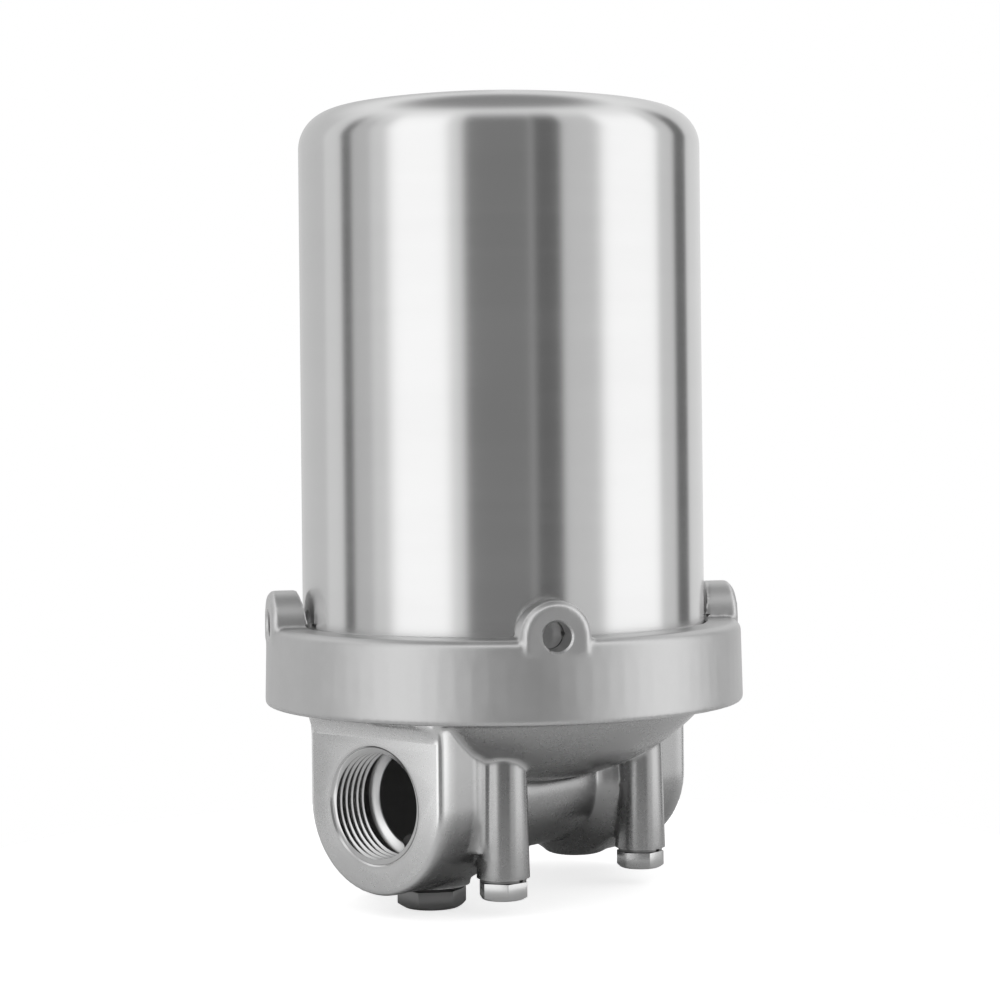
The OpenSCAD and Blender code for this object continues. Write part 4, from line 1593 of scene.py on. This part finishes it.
@dataclass
class Bolts(SubAssembly):
    """Four hexagon bolts with split spring washers in the posts. Sizes in millimetres."""

    screw: HexScrew = HexScrew(
        "bolt", across_flats=10.0, head_h=4.0, chamfer=0.35, turn=0.0, shank_r=2.5, shank_top=17.9,
        shank_sides=48, sunk=0.2, tip_r=0.5, tip_h=0.6, thread_depth=0.46, pitch=1.0, thread_start=5.2,
        thread_length=11.6,
    )
    foot_z: float = 3.9
    turns: tuple[float, ...] = (51.0, 1.0, 20.0, 38.0)
    washer_in: float = 3.05
    washer_out: float = 5.3
    washer_t: float = 0.9
    washer_edge: float = 0.12
    washer_steps: int = 60
    washer_gap: float = 13.0

    def build(self) -> None:
        """Make the bolts and the washers."""
        # The plug's dark finish also goes on the washers, as painted shade in the gap under the bolt heads.
        bolt_finish, washer_shade_finish = self.finishes.bolt, self.finishes.plug
        places = [(x * MM, y * MM, self.foot_z * MM) for x, y in POST_SPOTS]
        bolt = self.screw.build(self.shop.threads, bolt_finish)
        heads = self.shop.pattern.spread("post_bolts", bolt, places, self.turns, bolt_finish)
        dress(heads, bolt_finish, Body.HEAD, ["mounting_bolts"], crease=25.0)
        seats = [(x, y, z + self.screw.head_h * MM) for x, y, z in places]
        gaps = [0.0 if y > 0 else 180.0 for _, y in POST_SPOTS]
        rings = self.shop.pattern.spread("split_washers", self.washer(), seats, gaps, washer_shade_finish)
        dress(rings, washer_shade_finish, Body.HEAD, ["spring_washers"])

    def washer(self) -> Piece:
        """Returns:
            One split washer, its ends offset like a spring's.
        """
        shape = bmesh.new()
        gap = math.radians(self.washer_gap)
        edge, inner, outer = self.washer_edge, self.washer_in, self.washer_out
        sections = []
        for step in range(self.washer_steps + 1):
            share = step / self.washer_steps
            angle = math.pi / 2 + gap / 2 + share * (2 * math.pi - gap)
            low = edge * share
            high = self.washer_t - edge + low
            corners = ((inner, low, edge), (outer, low, edge), (outer, high, edge), (inner, high, edge))
            sections.append([polar(shape, r, angle, z) for r, z in rounded(*corners, steps=3)])
        bar(shape, sections)
        return from_bmesh("washer", shape)


@dataclass
class Drain(SubAssembly):
    """The drain plug and its seal under the inlet. Sizes in millimetres."""

    screw: HexScrew = HexScrew(
        "drain_plug_hex", across_flats=14.0, head_h=4.3, chamfer=0.6, turn=19.0, shank_r=5.7,
        shank_top=13.5, shank_sides=72, sunk=0.3, tip_r=1.0, tip_h=1.0, thread_depth=0.8,
        pitch=INCH_PITCH_19, thread_start=6.2, thread_length=6.2,
    )
    seal_radii: Point = (5.9, 7.7)
    seal_heights: Point = (4.3, 5.3)
    seal_edge: float = 0.4

    def build(self) -> None:
        """Make the plug and its seal."""
        move = Matrix.Translation((DRAIN_X * MM, 0, 0))
        plug = self.screw.build(self.shop.threads, self.finishes.plug)
        plug.data.transform(move)
        dress(plug, self.finishes.plug, Body.DRAIN_PLUG, ["drain_plug"], crease=25.0)
        seal = washer_ring("plug_seal", self.seal_radii, self.seal_heights, self.seal_edge, 128, move=move)
        dress(seal, self.finishes.rubber, Body.DRAIN_SEAL, ["drain_seal"])


@dataclass(frozen=True)
class LatticeTube:
    """A latticed tube of the cartridge. Sizes in millimetres, the first bar's direction in degrees."""

    name: str
    node: str
    radius: float
    depth: float
    bar: float
    hoop: float
    bars: int
    turn: float
    hoops: int = 10


@dataclass
class Cartridge(SubAssembly):
    """The pleated cartridge. Sizes in millimetres."""

    low_z: float = 49.0
    high_z: float = 173.0
    outer_r: float = 31.5
    bore_r: float = 14.0
    gasket_t: float = 3.0
    gasket_radii: Point = (14.3, 22.0)
    gasket_edge: float = 0.3
    cap_t: float = 5.0
    cap_h: float = 7.0
    rim_t: float = 1.2
    media_low: float = 57.0
    media_high: float = 165.0
    media_in: float = 17.2
    media_out: float = 29.0
    sheet: float = 0.5
    pleats: int = 48
    levels: int = 14
    waves: Outline = ((0.006, 7.0, 5.0), (0.004, 23.0, 11.0))
    tubes: tuple[LatticeTube, ...] = (
        LatticeTube("core_tube", "cartridge_core", 15.5, 3.0, 5.2, 3.6, 8, 22.5),
        LatticeTube("cage_tube", "cartridge_cage", 29.7, 1.0, 3.3, 3.6, 16, 11.25),
    )

    def build(self) -> None:
        """Make the caps, gaskets, pleats, core and cage."""
        plastic, gasket, body = self.finishes.plastic, self.finishes.gasket, Body.CARTRIDGE
        top_gasket_z = self.high_z - self.gasket_t
        for name, node, face, way in (
            ("lower_cap", "bottom_end_cap", self.low_z + self.gasket_t, 1),
            ("upper_cap", "top_end_cap", top_gasket_z, -1),
        ):
            dress(lathe(name, self.cap_outline(face, way), 192), plastic, body, [node])
        for name, node, low in (
            ("lower_gasket", "bottom_gasket", self.low_z),
            ("upper_gasket", "top_gasket", top_gasket_z),
        ):
            ring = washer_ring(name, self.gasket_radii, (low, low + self.gasket_t), self.gasket_edge, 160)
            dress(ring, gasket, body, [node])
        dress(self.folds(), self.finishes.felt, body, ["pleated_media"], crease=60.0)
        for tube in self.tubes:
            dress(self.lattice(tube), plastic, body, [tube.node])

    def cap_outline(self, face: float, way: int) -> list[Point]:
        """Args:
            face: height of the cap's outer face.
            way: 1 if the cap stands up from it, -1 if it hangs down.

        Returns:
            The section of an end cap with a moulded groove in its face.
        """
        rim_r = self.outer_r - self.rim_t
        profile = (
            (self.bore_r, 0, 0.4), (22.4, 0, 0.2), (23.0, 0.6, 0.2), (26.5, 0.6, 0.2), (27.1, 0, 0.2),
            (self.outer_r, 0, 0.8), (self.outer_r, self.cap_h, 0.4), (rim_r, self.cap_h, 0.4),
            (rim_r, self.cap_t, 0.3), (self.bore_r, self.cap_t, 0.4),
        )
        return rounded(*((r, face + way * z, edge) for r, z, edge in profile))

    def lattice(self, tube: LatticeTube) -> Piece:
        """Args:
            tube: the sizes of the core or of the cage.

        Returns:
            The lattice between the end caps.
        """
        values = {
            "Material": self.finishes.plastic,
            "Radius": tube.radius * MM,
            "Height": (self.media_high - self.media_low) * MM,
            "Bars": tube.bars,
            "Hoops": tube.hoops,
            "Bar Width": tube.bar * MM,
            "Hoop Width": tube.hoop * MM,
            "Bar Depth": tube.depth * MM,
        }
        made = self.shop.lattice.grow(tube.name, values)
        made.data.transform(lifted(self.media_low) @ Matrix.Rotation(math.radians(tube.turn), 4, "Z"))
        return made

    def fold_line(self, shift: float) -> list[Point]:
        """Args:
            shift: how far the line lies outside the middle of the sheet.

        Returns:
            The zigzag with rounded folds, as radius and angle.
        """
        line = []
        half_turn = math.pi / self.pleats
        outer_fold = (self.media_out - 0.25, 0.36, 0.55, 0.9)
        inner_fold = (self.media_in + 0.25, 0.2, -0.55, -0.9)
        for index in range(2 * self.pleats):
            edge, reach, back, widening = inner_fold if index % 2 else outer_fold
            for across, inwards in ((-1, 1), (-0.6, 0.3), (0, 0), (0.6, 0.3), (1, 1)):
                r = edge - back * inwards + shift * (1 if abs(across) < 1 else 0.3)
                spread = reach * across * half_turn * (1 + shift * widening)
                line.append((r, index * half_turn + spread))
        return line

    def lean(self, angle: float, share: float) -> float:
        """How far a fold leans aside, in radians, at this angle and share of the height."""
        return sum(size * math.sin(around * angle + up * share) for size, around, up in self.waves)

    def folds(self) -> Piece:
        """Returns:
            The pleated sheet between the caps, its folds a little uneven.
        """
        shape = bmesh.new()
        lines = [self.fold_line(self.sheet / 2), self.fold_line(-self.sheet / 2)]
        rows = []
        for level in range(self.levels + 1):
            share = level / self.levels
            z = self.media_low + share * (self.media_high - self.media_low)
            bow = math.sin(math.pi * share)
            rings = []
            for line in lines:
                places = [(r * MM, angle + self.lean(angle, share) * bow) for r, angle in line]
                rings.append([polar(shape, r, angle, z * MM) for r, angle in places])
            rows.append(rings)
        count = len(lines[0])
        around = [(index, (index + 1) % count) for index in range(count)]
        for low, high in zip(rows, rows[1:]):
            for here, after in around:
                shape.faces.new((low[0][here], low[0][after], high[0][after], high[0][here]))
                shape.faces.new((low[1][after], low[1][here], high[1][here], high[1][after]))
        for outside, inside in (rows[0], rows[-1]):
            for here, after in around:
                shape.faces.new((outside[here], inside[here], inside[after], outside[after]))
        return from_bmesh("pleats", shape)


@dataclass
class HoldDown(SubAssembly):
    """The spring that holds the cartridge down, its plate and its cup. Sizes in millimetres."""

    wire: float = 1.8
    mean_r: float = 12.0
    low_z: float = 174.6
    high_z: float = 187.457
    turns: float = 4.5
    press: float = 4.0
    steps: int = 60
    sides: int = 16
    plate: Outline = (
        (0, 165.0), (12.8, 165.0, 1.2), (12.8, 173.0, 0.3), (20.0, 173.0, 0.3), (20.0, 174.5, 0.5),
        (10.7, 174.5, 0.4), (10.7, 177.0, 0.5), (9.2, 177.0, 0.5), (9.2, 166.5, 1.0), (0, 166.5),
    )
    cup: Outline = (
        (0, 187.56), (13.3, 187.56, 0.4), (13.3, 184.56, 0.3), (14.5, 184.56, 0.5), (14.5, 188.74),
        (0, 189.18),
    )

    def build(self) -> None:
        """Make the plate, the cup and the spring."""
        turned = self.finishes.turned
        plate = lathe("pressure_plate", rounded(*self.plate), 160)
        dress(plate, turned, Body.SPRING_PLATE, ["spring_plate", "plate_spigot"])
        cup = lathe("spring_holder", rounded(*self.cup), 160)
        dress(cup, turned, Body.BELL, ["spring_cup"])
        spring = dress(
            self.coil(), self.finishes.wire, Body.BELL, ["hold_down_spring"], crease=50.0
        )
        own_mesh(spring)

    def height_at(self, turn: float) -> float:
        """Args:
            turn: turns from the lower end of the wire.

        Returns:
            Height of the wire's centre, with one dead turn at each end.
        """
        low, high = self.low_z + self.wire / 2, self.high_z - self.wire / 2
        closed = self.wire * 1.05
        if turn <= 1:
            return low + closed * turn * turn / 2
        if turn >= self.turns - 1:
            return high - closed * (self.turns - turn) ** 2 / 2
        return low + closed / 2 + (high - low - closed) * (turn - 1) / (self.turns - 2)

    def coil(self) -> Piece:
        """Returns:
            The coiled wire.
        """
        shape = bmesh.new()
        sections = []
        for step in range(int(self.turns * self.steps) + 1):
            angle = 2 * math.pi * step / self.steps
            centre_z = self.height_at(step / self.steps)
            ring = []
            for side in range(self.sides):
                round_angle = 2 * math.pi * side / self.sides
                r = self.mean_r + self.wire / 2 * math.cos(round_angle)
                z = centre_z + self.wire / 2 * math.sin(round_angle)
                ring.append(polar(shape, r * MM, angle, z * MM))
            sections.append(ring)
        bar(shape, sections)
        return from_bmesh("coil_spring", shape)


@dataclass(frozen=True)
class Panel:
    """A vertical strip of the room round the object, by its direction from the camera's."""

    start: float
    end: float
    level: float
    edge: float = 3.0


@dataclass
class Studio:
    """Room light, floor and camera."""

    toward: float = -140.0
    camera_range: float = 0.6019
    camera_height: float = 0.1109
    lens: float = 89.72
    shift: tuple[float, float] = (-0.00152, -0.07084)
    roll: float = -0.0102
    floor_r: float = 150.0
    floor_tones: tuple[float, float] = (0.78, 0.81)
    floor_lift: float = 0.7
    mirror_lift: float = 0.0
    ceiling: float = 1.0
    ceiling_rise: tuple[float, float] = (0.45, 0.8)
    zenith: float = 0.3
    zenith_rise: tuple[float, float] = (0.78, 0.95)
    wall: float = 1.0
    under: float = 0.5
    under_fall: tuple[float, float] = (0.2, 0.6)
    panels: tuple[Panel, ...] = (
        Panel(-180, -116, 0.66),
        Panel(-116, -100, 0.8),
        Panel(-100.5, -91, 0.16, 1.5),
        Panel(-91, -76, 0.6),
        Panel(-76, -64, 0.78),
        Panel(-64, -28, 1.34, 6.0),
        Panel(-28, -20, 0.86),
        Panel(-20, 18, 0.225),
        Panel(18, 36, 0.14),
        Panel(36, 60, 0.69),
        Panel(60, 101, 1.32, 7.0),
        Panel(101, 117, 0.74),
        Panel(117, 133, 0.16, 2.5),
        Panel(133, 180, 0.8),
    )

    def build(self) -> None:
        """Set up the room, the floor and the camera."""
        self.room()
        self.floor()
        self.camera()

    def room(self) -> None:
        """Light the world by direction: panels round about, an even ceiling, white for the camera."""
        world = bpy.data.worlds.new("studio")
        world.use_nodes = True
        bpy.context.scene.world = world
        graph = Graph(world.node_tree)
        way = graph.take("Generated", "ShaderNodeTexCoord")
        ahead = math.radians(self.toward)
        forward = self.along(graph, way, (math.cos(ahead), math.sin(ahead), 0))
        aside = self.along(graph, way, (-math.sin(ahead), math.cos(ahead), 0))
        up = self.along(graph, way, (0, 0, 1))
        turn = graph.maths("ARCTAN2", aside, forward) * (180 / math.pi)
        light: Signal | float = self.wall
        for panel in self.panels:
            begun = turn.smooth_step(panel.start - panel.edge, panel.start + panel.edge)
            over = turn.smooth_step(panel.end - panel.edge, panel.end + panel.edge)
            light = faded(light, panel.level, begun * (1 - over))
        light = faded(light, self.ceiling, up.smooth_step(*self.ceiling_rise))
        light = faded(light, self.zenith, up.smooth_step(*self.zenith_rise))
        light = faded(light, self.under, (up * -1.0).smooth_step(*self.under_fall))
        light = faded(light, 1.0, graph.take("Is Camera Ray", "ShaderNodeLightPath"))
        sockets = {"Color": (1, 1, 1, 1), "Strength": light}
        background = graph.take("Background", "ShaderNodeBackground", sockets)
        graph.node("ShaderNodeOutputWorld", {"Surface": background})

    @staticmethod
    def along(graph: Graph, way: Signal, axis: tuple[float, float, float]) -> Signal:
        """Args:
            graph: the world's tree.
            way: a direction.
            axis: another direction.

        Returns:
            How far the first runs along the second.
        """
        node = graph.node("ShaderNodeVectorMath", {"Vector": way}, {"operation": "DOT_PRODUCT"})
        node.inputs[1].default_value = axis
        return graph.out(node, "Value")

    def floor(self) -> None:
        """Lay a round pale floor that fades into the white of the room."""
        edge = self.floor_r
        disc = lathe("floor", rounded((0, -3), (edge, -3), (edge, -0.05), (0, -0.05)), 128)
        paint = Paint("pale_floor")
        speckle = paint.noise((60, 60, 60), 3.0)
        rays = paint.node("ShaderNodeLightPath")
        mirrored = paint.out(rays, "Is Glossy Ray").maths("MAXIMUM", paint.out(rays, "Is Transmission Ray"))
        seen = paint.out(rays, "Is Camera Ray") * self.floor_lift + mirrored * self.mirror_lift
        material = paint.finish(
            {
                "Roughness": 0.9,
                "Emission Strength": 1.0,
                "Base Color": paint.blend(speckle, *(grey(tone) for tone in self.floor_tones)),
                "Emission Color": paint.blend(seen, grey(0.0), grey(1.0)),
            }
        )
        disc.data.materials.append(material)

    def camera(self) -> None:
        """Place the camera at the photograph's viewing angle."""
        data = bpy.data.cameras.new("camera")
        data.lens = self.lens
        data.sensor_width = 36.0
        data.shift_x, data.shift_y = self.shift
        data.clip_start = 0.01
        eye = bpy.data.objects.new("camera", data)
        bpy.context.scene.collection.objects.link(eye)
        ahead = math.radians(self.toward)
        spot = Vector((math.cos(ahead), math.sin(ahead), 0)) * self.camera_range
        spot.z = self.camera_height
        turn = Matrix.Rotation(ahead + math.pi / 2, 4, "Z") @ Matrix.Rotation(math.pi / 2, 4, "X")
        eye.matrix_world = Matrix.Translation(spot) @ turn @ Matrix.Rotation(self.roll, 4, "Z")
        bpy.context.scene.camera = eye
        bpy.context.scene.view_settings.view_transform = "Standard"


def main() -> None:
    """Build every sub-assembly, then the studio, and note the sizes."""
    logging.basicConfig(level=logging.INFO, format="%(message)s")
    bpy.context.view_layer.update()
    shop = Shop(Finishes(), ThreadTree(), LatticeTree(), PatternTree())
    for assembly in (HeadCasting, RingNut, Bell, Seals, CartridgeSeat, Bolts, Drain, Cartridge, HoldDown):
        assembly(shop).build()
    Studio().build()


if __name__ == "__main__":
    main()
